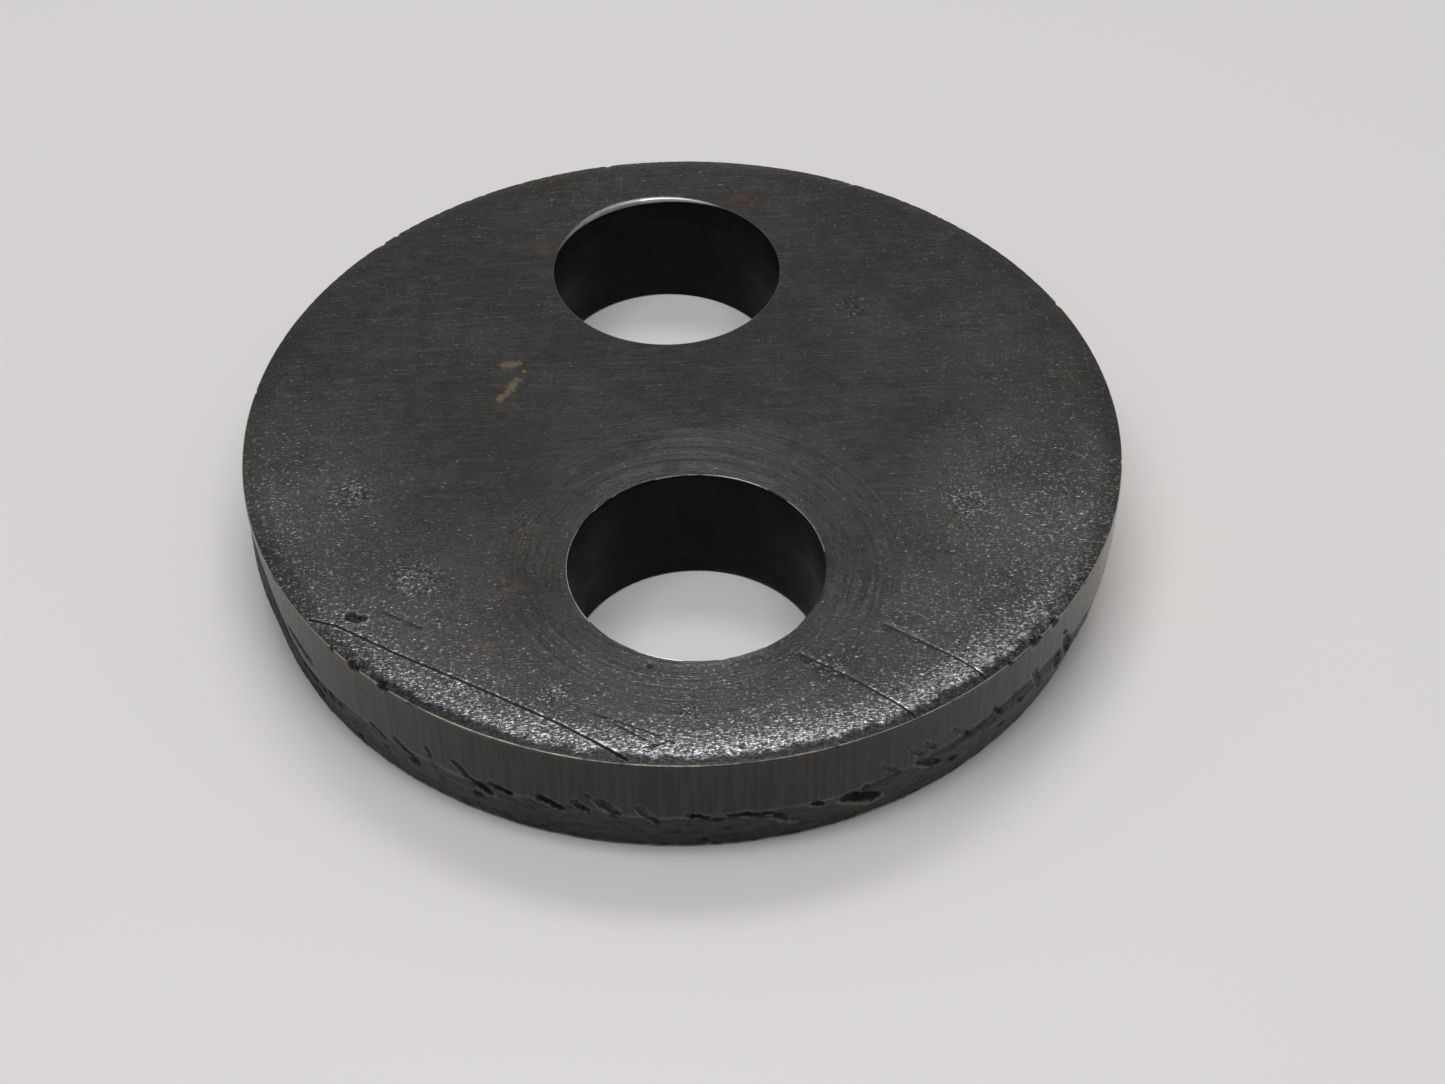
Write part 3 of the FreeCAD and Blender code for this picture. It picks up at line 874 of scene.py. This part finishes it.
def hollow_at_mark(w, marks, place, ragged):
    """The nearest placed mark: its hollow's depth, and the height of the lip round it."""
    index = w.add("GeometryNodeSampleNearest", {"Geometry": marks}, domain="POINT").outputs[0]
    reach = sampled(w, marks, w.named("reach"), index, "FLOAT")
    depth = sampled(w, marks, w.named("depth"), index, "FLOAT")
    centre = sampled(w, marks, place, index, "FLOAT_VECTOR")
    away = w.math("DIVIDE", w.vector("DISTANCE", place, centre, output=1), reach)
    away = w.math("ADD", away, ragged)
    rise = w.parts(w.vector("SUBTRACT", place, centre))[2]
    below = w.fade(w.math("DIVIDE", rise, reach), 0.5, -0.3, 0.1, 1.0)
    lip = w.math("MULTIPLY", w.fade(away, 1.0, 1.2), w.fade(away, 1.7, 1.3))
    lip = w.math("MULTIPLY", lip, below)
    return (w.math("MULTIPLY", w.fade(away, 1.0, 0.5), depth),
            w.math("MULTIPLY", w.math("MULTIPLY", lip, 0.12), depth))


def sampled(w, geometry, value, index, kind):
    """A value read from one point of another geometry."""
    node = w.add("GeometryNodeSampleIndex", {"Geometry": geometry, "Index": index},
                 data_type=kind, domain="POINT")
    w.put(next(s for s in node.inputs if s.name == "Value" and s.enabled), value)
    return next(s for s in node.outputs if s.enabled)


def worn_mesh(sizes, wear, materials):
    """The plate's finished mesh: the blank put through the relief tree."""
    helpers = [score_curves(sizes), mark_points(sizes)]
    blank = link("plate_blank", blank_mesh(sizes, wear))
    for material in materials.values():
        blank.data.materials.append(material)
    tree = relief_tree()
    modifier = blank.modifiers.new("relief", "NODES")
    modifier.node_group = tree
    values = {
        "Radius": sizes.radius, "Thickness": sizes.thickness, "Land Foot": sizes.land_foot,
        "Tear Depth": wear.tear_depth, "Streak Depth": wear.streak_depth,
        "Ledge Depth": wear.ledge_depth, "Grit Depth": wear.grit_depth,
        "Ring Depth": wear.ring_depth, "Ring Pitch": wear.ring_pitch,
        "Wave Depth": wear.wave_depth, "Pit Depth": wear.pit_depth, "Pit Size": wear.pit_size,
        "Score Depth": wear.score_depth, "Score Width": wear.score_width, "Seed": wear.seed,
        "Scores": helpers[0], "Marks": helpers[1],
        **{name.capitalize(): material for name, material in materials.items()},
    }
    for item in tree.interface.items_tree:
        if item.in_out == "INPUT" and item.name in values:
            modifier[item.identifier] = values[item.name]
    depsgraph = bpy.context.evaluated_depsgraph_get()
    mesh = bpy.data.meshes.new_from_object(blank.evaluated_get(depsgraph), depsgraph=depsgraph)
    for item in [blank, *helpers]:
        bpy.data.objects.remove(item)
    bpy.data.node_groups.remove(tree)
    mesh.shade_smooth()
    mesh.set_sharp_from_angle(angle=math.radians(38))
    return mesh


def new_material(name):
    """An empty node material: its wiring and its Principled shader."""
    material = bpy.data.materials.new(name)
    material.use_nodes = True
    material.node_tree.nodes.clear()
    w = Wiring(material.node_tree)
    shader = w.add("ShaderNodeBsdfPrincipled")
    out = w.add("ShaderNodeOutputMaterial")
    w.put(out.inputs["Surface"], shader.outputs[0])
    return material, w, shader


def object_millimetres(w):
    """Object coordinates in millimetres."""
    place = w.add("ShaderNodeTexCoord").outputs["Object"]
    return w.vector("SCALE", place, 1 / MM)


def turned(w, vector, angle, stretch):
    """Coordinates turned about Z, then stretched along the turned axes."""
    node = w.add("ShaderNodeMapping", {"Vector": vector, "Rotation": (0, 0, angle),
                                       "Scale": stretch}, vector_type="POINT")
    return node.outputs[0]


def rgba(colour, share=1.0):
    """A colour with its alpha, each channel scaled by share."""
    return (*(c * share for c in colour), 1.0)


def hollow_dark_and_lip(w, place):
    """Darker hollows by their depth, with a ragged edge, and the rubbed lip round them, partly a
    painted highlight.
    """
    share = w.stored("dirt")
    ragged = w.math("SUBTRACT", w.noise(place, 1.8, 4.0, 0.7), 0.5)
    share = w.math("ADD", share, w.math("MULTIPLY", ragged, w.fade(share, 0.0, 0.2, 0.0, 1.1)))
    lip = w.stored("lip")
    lip = w.math("ADD", lip, w.math("MULTIPLY", ragged, w.fade(lip, 0.0, 0.2, 0.0, 1.4)))
    return w.fade(share, 0.38, 0.62), w.fade(lip, 0.4, 0.75)


def patch_sum(w, flat, patches):
    """Soft round patches added up: each is a place in plan, a reach and a strength."""
    total = 0.0
    for x, y, reach, strength in patches:
        gap = w.vector("DISTANCE", flat, (x, y, 0), output=1)
        total = w.math("ADD", total, w.fade(gap, reach, 0.0, 0.0, strength))
    return total


def stain_share(w, flat):
    """Where the dried ochre smears and their specks are, with ragged edges."""
    ragged = w.math("MULTIPLY", w.math("SUBTRACT", w.noise(flat, 1.3, 4.0, 0.75), 0.5), 2.4)
    gap = 100.0
    for start, end in STAIN_SMEARS:
        gap = w.math("MINIMUM", gap, w.gap_to_line(flat, (*start, 0), (*end, 0)))
    share = w.fade(w.math("ADD", gap, ragged), 0.65, 0.25)
    for x, y, reach in STAIN_SPECKS:
        speck = w.vector("DISTANCE", flat, (x, y, 0), output=1)
        share = w.math("MAXIMUM", share, w.fade(speck, reach, reach * 0.4))
    return share


def crossed_lines(w, flat):
    """Short fine lines that cross at several angles, highest along each line."""
    lines = 0.0
    for angle in (0.35, 1.0, 1.65, 2.2, 2.85):
        line = w.noise(turned(w, flat, angle, (1.3, 6.5, 1)), 1.0, 2.0, 0.5)
        lines = w.math("MAXIMUM", lines, line)
    return lines


def scratch_lines(w, flat):
    """Fine scratches in a few directions, 1 on a scratch."""
    scratches = 0.0
    for angle, strength in ((0.7, 1.0), (-0.5, 0.8), (1.9, 0.5)):
        lines = w.noise(turned(w, flat, angle, (0.12, 5.0, 1)), 1.0, 3.0, 0.6)
        lines = w.math("MULTIPLY", w.fade(lines, 0.60, 0.72), strength)
        scratches = w.math("MAXIMUM", scratches, lines)
    return scratches


def rub_rings(w, flat):
    """Rings rubbed into the scale round the front bore, above and below 0."""
    centre = tuple(c / MM for c in bore_centre("front_bore")) + (0,)
    from_bore = w.vector("DISTANCE", flat, centre, output=1)
    wander = w.vector("SCALE", w.vector("ADD", flat, (3, 9, 0)), 0.045)
    ring_line = w.add("ShaderNodeCombineXYZ", {0: from_bore, 1: 3.3}).outputs[0]
    rings = w.noise(w.vector("ADD", ring_line, wander), 1.25, 4.0, 0.8)
    rings = w.math("MULTIPLY", w.math("SUBTRACT", rings, 0.5), 12.0)
    rubbed = w.math("MULTIPLY", w.fade(from_bore, 27.0, 19.0),
                    w.fade(w.noise(flat, 0.14, 3.0), 0.38, 0.6, 0.25, 1.0))
    return w.math("MULTIPLY", rings, rubbed)


def pitting(w, place, flat):
    """Patches of close small pits: the pits, and the pits' edges."""
    area = patch_sum(w, flat, [(x, y, reach, 1.6) for x, y, reach in PITTED_PATCHES])
    noise = w.noise(place, 1.6, 3.0, 0.7)
    edge = w.math("MULTIPLY", w.fade(noise, 0.42, 0.50), w.fade(noise, 0.56, 0.51))
    return (w.math("MULTIPLY", area, w.fade(noise, 0.53, 0.62), clamp=True),
            w.math("MULTIPLY", area, edge, clamp=True))


def blue_scale_and_dark_reflection(w, flat, from_axis, forward):
    """Blue-black scale, at the front edge's brink partly a painted dark reflection: the brink, and
    the brink and patches together.
    """
    uneven = w.math("MULTIPLY", w.math("SUBTRACT", w.noise(flat, 0.55, 4.0, 0.6), 0.5), 2.6)
    # The front brink: blue-black scale, partly a painted dark reflection, kept only towards the
    # front.
    brink = w.fade(w.math("ADD", from_axis, uneven), 49.25, 49.9, 0.0, 0.9)
    brink = w.math("MULTIPLY", brink, w.fade(forward, -0.45, -0.8))
    patches = w.noise(w.vector("ADD", flat, (-12, 31, 0)), 0.075, 4.0, 0.55)
    patches = w.math("MULTIPLY", w.fade(patches, 0.45, 0.62),
                     w.fade(forward, 0.5, -0.2, 0.2, 0.6))
    return brink, w.math("MAXIMUM", patches, brink)


def face_material(finish):
    """Oiled scale on the faces: mottled, rubbed round the front bore, scratched, gritty."""
    material, w, shader = new_material("oiled_scale")
    place = object_millimetres(w)
    flat = w.plan(place)
    from_axis = w.vector("LENGTH", flat, output=1)
    across, along, _ = w.parts(flat)
    forward = w.math("DIVIDE", along, from_axis)
    sideways = w.math("DIVIDE", across, from_axis)
    dirt, lip = hollow_dark_and_lip(w, place)
    rings, scratches = rub_rings(w, flat), scratch_lines(w, flat)
    pitted, pit_edges = pitting(w, place, flat)
    brink, blued_and_dark_reflection = blue_scale_and_dark_reflection(w, flat, from_axis, forward)
    patches = w.noise(flat, 0.42, 5.0, 0.65)
    speckle = w.noise(place, 2.4, 4.0, 0.75)

    worn = w.math("ADD", w.fade(w.noise(flat, 0.09, 6.0, 0.62), 0.3, 0.75, 0.0, 0.45),
                  patch_sum(w, flat, RUBBED_PATCHES))
    # The lips round hollows count as greyer: rubbed, and partly a painted highlight.
    for part, strength in ((w.math("SUBTRACT", patches, 0.5), 1.0), (rings, 0.75),
                           (w.math("SUBTRACT", speckle, 0.5), 1.3), (scratches, 0.5),
                           (lip, 0.8)):
        worn = w.math("ADD", worn, w.math("MULTIPLY", part, strength), clamp=part is lip)
    colour = w.mix(worn, rgba(finish.scale), rgba(finish.worn))
    brown = w.noise(w.vector("ADD", flat, (40, 7, 0)), 0.06, 5.0, 0.6)
    brown = w.math("MULTIPLY", w.fade(brown, 0.42, 0.7), w.fade(patches, 0.35, 0.6))
    colour = w.mix(w.math("MULTIPLY", brown, 0.8), colour, rgba(finish.brown))
    # Blue-black scale in patches, and on the front brink partly a painted dark reflection.
    colour = w.mix(blued_and_dark_reflection, colour, rgba(finish.blued_and_dark_reflection))
    blooms = patch_sum(w, flat, [(x, y, reach, 0.6) for x, y, reach in RUST_BLOOMS])
    colour = w.mix(w.math("MULTIPLY", blooms, w.fade(patches, 0.35, 0.65)), colour,
                   rgba(finish.rust))
    dried = w.math("MULTIPLY", stain_share(w, flat), w.fade(speckle, 0.35, 0.6, 0.3, 0.9))
    colour = w.mix(dried, colour, rgba(finish.stain))
    # Darker in the hollows, by their depth, and in the pitted patches.
    colour = w.mix(w.math("MAXIMUM", dirt, w.math("MULTIPLY", pitted, 0.8)), colour,
                   rgba(finish.dark_fill))

    # Flecks of pale metallic steel, closest together on the front rim and thicker over the front
    # half: partly bare steel, partly painted glints.
    rim = w.math("MULTIPLY", w.fade(from_axis, 44.0, 49.0), w.fade(forward, -0.35, -0.9, 0.1, 1.0))
    rim = w.math("MULTIPLY", rim, w.fade(sideways, -0.25, -0.6, 1.0, 0.68))
    near = w.math("MULTIPLY", w.fade(from_axis, 20.0, 46.0), w.fade(forward, 0.4, -0.6, 0.2, 1.0))
    # Painted glints beside the nicks, partly polished steel: these spots add pale metallic flecks.
    polish_and_glint = patch_sum(w, flat, [(x, y, reach, 1.5) for x, y, reach in GLINT_AND_POLISHED_SPOTS])
    crossed = crossed_lines(w, flat)
    flecks_and_glints = w.math("ADD", w.math("MULTIPLY", crossed, 0.7),
                    w.math("MULTIPLY", w.noise(place, 2.6, 4.0, 0.7), 0.45))
    for part, strength in ((rim, 0.08), (near, 0.048), (w.math("ADD", polish_and_glint, worn), 0.03),
                           (pit_edges, 0.06), (lip, 0.025)):
        flecks_and_glints = w.math("ADD", flecks_and_glints, w.math("MULTIPLY", part, strength))
    flecks_and_glints = w.math("MULTIPLY", w.fade(flecks_and_glints, 0.74, 0.88),
                    w.math("SUBTRACT", 1.0, w.math("MAXIMUM", dirt, brink)))
    w.put(shader.inputs["Base Color"], w.mix(flecks_and_glints, colour, rgba(finish.polish_and_glint)))
    w.put(shader.inputs["Metallic"], flecks_and_glints)

    height = w.math("MULTIPLY", crossed, w.math("ADD", rim, w.fade(near, 0.0, 1.0, 0.45, 0.8)))
    height = w.math("MULTIPLY", height, w.math("SUBTRACT", 1.0, w.math("MULTIPLY", brink, 0.7)))
    for part, strength in ((w.noise(place, 0.8, 3.0, 0.6), 0.4), (rings, 0.3),
                           (scratches, -0.4), (pitted, -1.2)):
        height = w.math("ADD", height, w.math("MULTIPLY", part, strength))
    bump = w.add("ShaderNodeBump", {"Height": height, "Strength": 1.0, "Distance": 0.05 * MM})
    w.put(shader.inputs["Normal"], bump.outputs[0])
    rough = w.math("ADD", 0.19, w.math("MULTIPLY", patches, 0.16))
    w.put(shader.inputs["Roughness"], w.math("ADD", rough, w.math("MULTIPLY", dirt, 0.4)))
    w.put(shader.inputs["Specular IOR Level"], w.fade(brink, 0.0, 1.0, 0.5, 0.2))
    shader.inputs["IOR"].default_value = 1.5
    return material


def wall_material(finish):
    """The sheared edge: dark steel with upright streaks, browner where it tore."""
    material, w, shader = new_material("sheared_edge")
    place = object_millimetres(w)
    dirt, lip = hollow_dark_and_lip(w, place)
    torn = w.stored("torn")
    streaks = w.noise(w.vector("MULTIPLY", place, (1, 1, 0.05)), 1.6, 4.0, 0.65)
    blotches = w.noise(place, 0.25, 4.0)
    colour = w.mix(w.fade(streaks, 0.41, 0.60), rgba(finish.sheared, 0.55),
                   rgba(finish.sheared, 2.4))
    colour = w.mix(w.fade(blotches, 0.4, 0.8, 0.0, 0.5), colour, rgba(finish.brown))
    colour = w.mix(w.math("MULTIPLY", torn, 0.75), colour, rgba(finish.dark_fill))
    # The lips round gouges and nicks, lighter: rubbed steel, and partly a painted highlight.
    colour = w.mix(w.math("MULTIPLY", lip, 0.7), colour, rgba(finish.bright, 0.35))
    crack_noise = w.noise(w.vector("MULTIPLY", place, (1, 1, 1.7)), 0.42, 5.0, 0.6)
    cracks = w.fade(w.math("ABSOLUTE", w.math("SUBTRACT", crack_noise, 0.53)), 0.02, 0.006)
    cracks = w.math("MULTIPLY", cracks, w.fade(w.noise(place, 0.16, 2.0), 0.45, 0.6))
    cracks = w.math("MULTIPLY", cracks, w.math("ADD", w.math("MULTIPLY", torn, 0.9), 0.1))
    # Darker in the hollows, by their depth, and along the cracks.
    colour = w.mix(w.math("MULTIPLY", w.math("MAXIMUM", dirt, cracks), 0.75), colour,
                   rgba(finish.dark_fill))
    out = w.vector("NORMALIZE", w.plan(place))
    oily = w.fade(w.vector("DISTANCE", out, (-0.93, -0.36, 0), output=1), 0.55, 0.1)
    # Painted reflection: a bright, partly metallic patch on the right of the wall, bare steel that
    # also stands in for the floor's reflection at a grazing view.
    rubbed = w.fade(w.vector("DISTANCE", out, (0.985, -0.17, 0), output=1), 0.38, 0.08)
    colour = w.mix(w.math("MULTIPLY", rubbed, 0.7), colour, rgba(finish.bright))
    w.put(shader.inputs["Base Color"], colour)
    w.put(shader.inputs["Metallic"], w.math("MULTIPLY", rubbed, 0.7))
    fine = w.noise(place, 2.6, 4.0, 0.65)
    height = w.math("ADD", w.math("MULTIPLY", streaks, 1.2), w.math("MULTIPLY", fine, 0.9))
    height = w.math("SUBTRACT", height, w.math("MULTIPLY", dirt, 2.0))
    height = w.math("SUBTRACT", height, w.math("MULTIPLY", cracks, 3.0))
    bump = w.add("ShaderNodeBump", {"Height": height, "Strength": 1.0, "Distance": 0.035 * MM})
    w.put(shader.inputs["Normal"], bump.outputs[0])
    w.put(shader.inputs["Roughness"], w.math("ADD", w.fade(fine, 0.3, 0.7, 0.18, 0.3),
                                             w.math("MULTIPLY", torn, 0.12)))
    w.put(shader.inputs["Specular IOR Level"], w.math(
        "SUBTRACT", w.fade(torn, 0.0, 1.0, 0.33, 0.16), w.math("MULTIPLY", oily, 0.14)))
    return material


def bore_material(finish):
    """The bores' walls: dark, with rings from the tool."""
    material, w, shader = new_material("bore_wall")
    place = object_millimetres(w)
    rings = w.noise(w.vector("MULTIPLY", place, (0.05, 0.05, 1)), 1.6, 4.0, 0.7)
    stains = w.noise(place, 0.2, 3.0)
    colour = w.mix(w.fade(rings, 0.35, 0.65), rgba(finish.dark_fill, 0.9),
                   rgba(finish.scale, 0.6))
    colour = w.mix(w.fade(stains, 0.35, 0.7, 0.0, 0.6), colour, rgba(finish.dark_fill))
    w.put(shader.inputs["Base Color"], colour)
    bump = w.add("ShaderNodeBump", {"Height": rings, "Strength": 1.0, "Distance": 0.04 * MM})
    w.put(shader.inputs["Normal"], bump.outputs[0])
    w.put(shader.inputs["Roughness"], w.fade(stains, 0.3, 0.7, 0.35, 0.5))
    shader.inputs["Specular IOR Level"].default_value = 0.06
    return material


def bright_material(finish):
    """The corner between the roll-over and the wall, worn down to bare steel and partly a painted
    edge highlight.
    """
    material, w, shader = new_material("bare_edge_and_highlight")
    place = object_millimetres(w)
    wear = w.noise(place, 0.35, 5.0, 0.7)
    # Painted edge highlight, partly bare steel: pale where the noise runs high.
    colour = w.mix(w.fade(wear, 0.3, 0.55), rgba(finish.worn), rgba(finish.bright))
    # Darker in the hollows, by their depth.
    w.put(shader.inputs["Base Color"], w.mix(hollow_dark_and_lip(w, place)[0], colour,
                                             rgba(finish.dark_fill)))
    w.put(shader.inputs["Metallic"], w.fade(wear, 0.38, 0.58, 0.0, 0.5))
    w.put(shader.inputs["Roughness"], w.fade(wear, 0.3, 0.7, 0.5, 0.36))
    return material


def cut_material(finish, top):
    """The upper edges of the bores: smooth cut steel, dulled most at the front bore. On the
    rear bore's crescent the upper side is dull, and the lower side too towards -X. The dull
    upper side is partly painted shade, and the bright line left below it partly a painted
    highlight. top is the plate's thickness in millimetres."""
    material, w, shader = new_material("cut_edge")
    place = object_millimetres(w)
    centre = tuple(c / MM for c in bore_centre("front_bore")) + (0,)
    at_front_bore = w.fade(w.vector("DISTANCE", w.plan(place), centre, output=1), 17.0, 16.0)
    dulled = w.fade(w.noise(place, 0.22, 4.0, 0.6), 0.42, 0.54)
    dulled = w.math("MULTIPLY", dulled, w.fade(at_front_bore, 0.0, 1.0, 0.45, 0.95))
    across, _, height = w.parts(place)
    # The crescent's upper side, dulled: partly painted shade, which leaves a bright line below it
    # that is partly a painted highlight.
    upper = w.math("MULTIPLY", w.fade(height, top - 0.2, top - 0.06, 0.0, 0.7),
                   w.math("SUBTRACT", 1.0, at_front_bore))
    lower = w.math("MULTIPLY", w.fade(height, top - 0.5, top - 0.8, 0.0, 0.9),
                   w.fade(across, -2.0, -5.0))
    dulled = w.math("MAXIMUM", w.math("MAXIMUM", dulled, upper), lower)
    w.put(shader.inputs["Base Color"], w.mix(dulled, rgba(finish.polish_and_glint, 0.85),
                                             rgba(finish.scale)))
    w.put(shader.inputs["Roughness"], w.fade(dulled, 0.0, 1.0, 0.3, 0.45))
    shader.inputs["Metallic"].default_value = 0.85
    return material


class COLLAR_OT_plate(bpy.types.Operator):
    """Build the worn collar plate"""
    bl_idname = "collar.plate"
    bl_label = "Collar Plate"

    def execute(self, context):
        """Makes the materials and the mesh, and puts the plate on its body."""
        scene = context.scene
        finish = scene.collar_finish
        materials = {"face": face_material(finish), "wall": wall_material(finish),
                     "bore": bore_material(finish), "bright": bright_material(finish),
                     "cut": cut_material(finish, scene.collar_sizes.thickness / MM)}
        mesh = worn_mesh(scene.collar_sizes, scene.collar_wear, materials)
        plate = link("worn_plate", mesh)
        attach(plate, "root")
        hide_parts(NODE)
        return {"FINISHED"}


def floor_material(finish):
    """A plain pale floor with a soft gloss."""
    material, w, shader = new_material("pale_floor")
    place = object_millimetres(w)
    clouds = w.noise(place, 0.006, 3.0)
    w.put(shader.inputs["Base Color"],
          w.mix(clouds, rgba(finish.floor), rgba(finish.floor, 0.97)))
    shader.inputs["Roughness"].default_value = 0.45
    return material


def area_light(name, size, power, place):
    """A soft rectangular light that faces the plate."""
    data = bpy.data.lights.new(name, "AREA")
    data.shape = "RECTANGLE"
    data.size, data.size_y = size
    data.energy = power
    light = link(name, data)
    light.location = place
    light.rotation_euler = (-Vector(place)).to_track_quat("-Z", "Y").to_euler()


class COLLAR_OT_stage(bpy.types.Operator):
    """Set up the floor, the lights and the camera"""
    bl_idname = "collar.stage"
    bl_label = "Stage"

    def execute(self, context):
        """Makes the floor, then the lights, then the camera."""
        scene = context.scene
        mesh = bpy.data.meshes.new("floor")
        half, level = 1.5, -0.02 * MM
        corners = [(-half, -half), (half, -half), (half, half), (-half, half)]
        mesh.from_pydata([(x, y, level) for x, y in corners], [], [(0, 1, 2, 3)])
        mesh.materials.append(floor_material(scene.collar_finish))
        link("floor", mesh)

        world = bpy.data.worlds.new("studio")
        scene.world = world
        world.use_nodes = True
        background = world.node_tree.nodes["Background"]
        background.inputs["Color"].default_value = (1.0, 0.99, 0.98, 1)
        background.inputs["Strength"].default_value = 0.25
        area_light("rear_light", (0.50, 0.20), 1.7, (0.04, 0.40, 0.86))
        area_light("front_light", (0.9, 0.4), 5.2, (-0.06, -0.20, 0.96))
        scene.view_settings.view_transform = "Standard"

        aim, distance = Vector((4.4, -3.35, 0)) * MM, 334.4 * MM
        elevation, heading = math.radians(45.37), math.radians(-4.55)
        back = Vector((math.sin(heading) * math.cos(elevation),
                       -math.cos(heading) * math.cos(elevation), math.sin(elevation)))
        data = bpy.data.cameras.new("camera")
        data.sensor_width, data.lens = 36.0, 69.87
        data.clip_start, data.clip_end = 0.01, 20.0
        camera = link("camera", data)
        camera.location = aim + back * distance
        facing = (-back).to_track_quat("-Z", "Y").to_matrix()
        roll = Matrix.Rotation(math.radians(0.13), 3, "Z")
        camera.rotation_euler = (facing @ roll).to_euler()
        scene.camera = camera
        return {"FINISHED"}


class COLLAR_PT_panel(bpy.types.Panel):
    """Sizes, wear and colours of the collar plate"""
    bl_idname = "COLLAR_PT_panel"
    bl_label = "Collar Plate"
    bl_space_type = "VIEW_3D"
    bl_region_type = "UI"
    bl_category = "Collar Plate"

    def draw(self, context):
        """Lists every setting, then the two builders."""
        for group in ("collar_sizes", "collar_wear", "collar_finish"):
            settings = getattr(context.scene, group)
            column = self.layout.column()
            for name in settings.__annotations__:
                column.prop(settings, name)
        self.layout.operator(COLLAR_OT_plate.bl_idname)
        self.layout.operator(COLLAR_OT_stage.bl_idname)


CLASSES = (CollarPlateSizes, CollarPlateWear, CollarPlateFinish, COLLAR_OT_plate,
           COLLAR_OT_stage, COLLAR_PT_panel)


def register():
    """Registers the classes, and gives each scene its settings."""
    for item in CLASSES:
        bpy.utils.register_class(item)
    bpy.types.Scene.collar_sizes = PointerProperty(type=CollarPlateSizes)
    bpy.types.Scene.collar_wear = PointerProperty(type=CollarPlateWear)
    bpy.types.Scene.collar_finish = PointerProperty(type=CollarPlateFinish)


def unregister():
    """Takes the settings and the classes away again."""
    for name in ("collar_sizes", "collar_wear", "collar_finish"):
        delattr(bpy.types.Scene, name)
    for item in reversed(CLASSES):
        bpy.utils.unregister_class(item)


def main():
    """Builds the stage and the plate."""
    register()
    bpy.ops.collar.stage()
    bpy.ops.collar.plate()


if __name__ == "__main__":
    main()
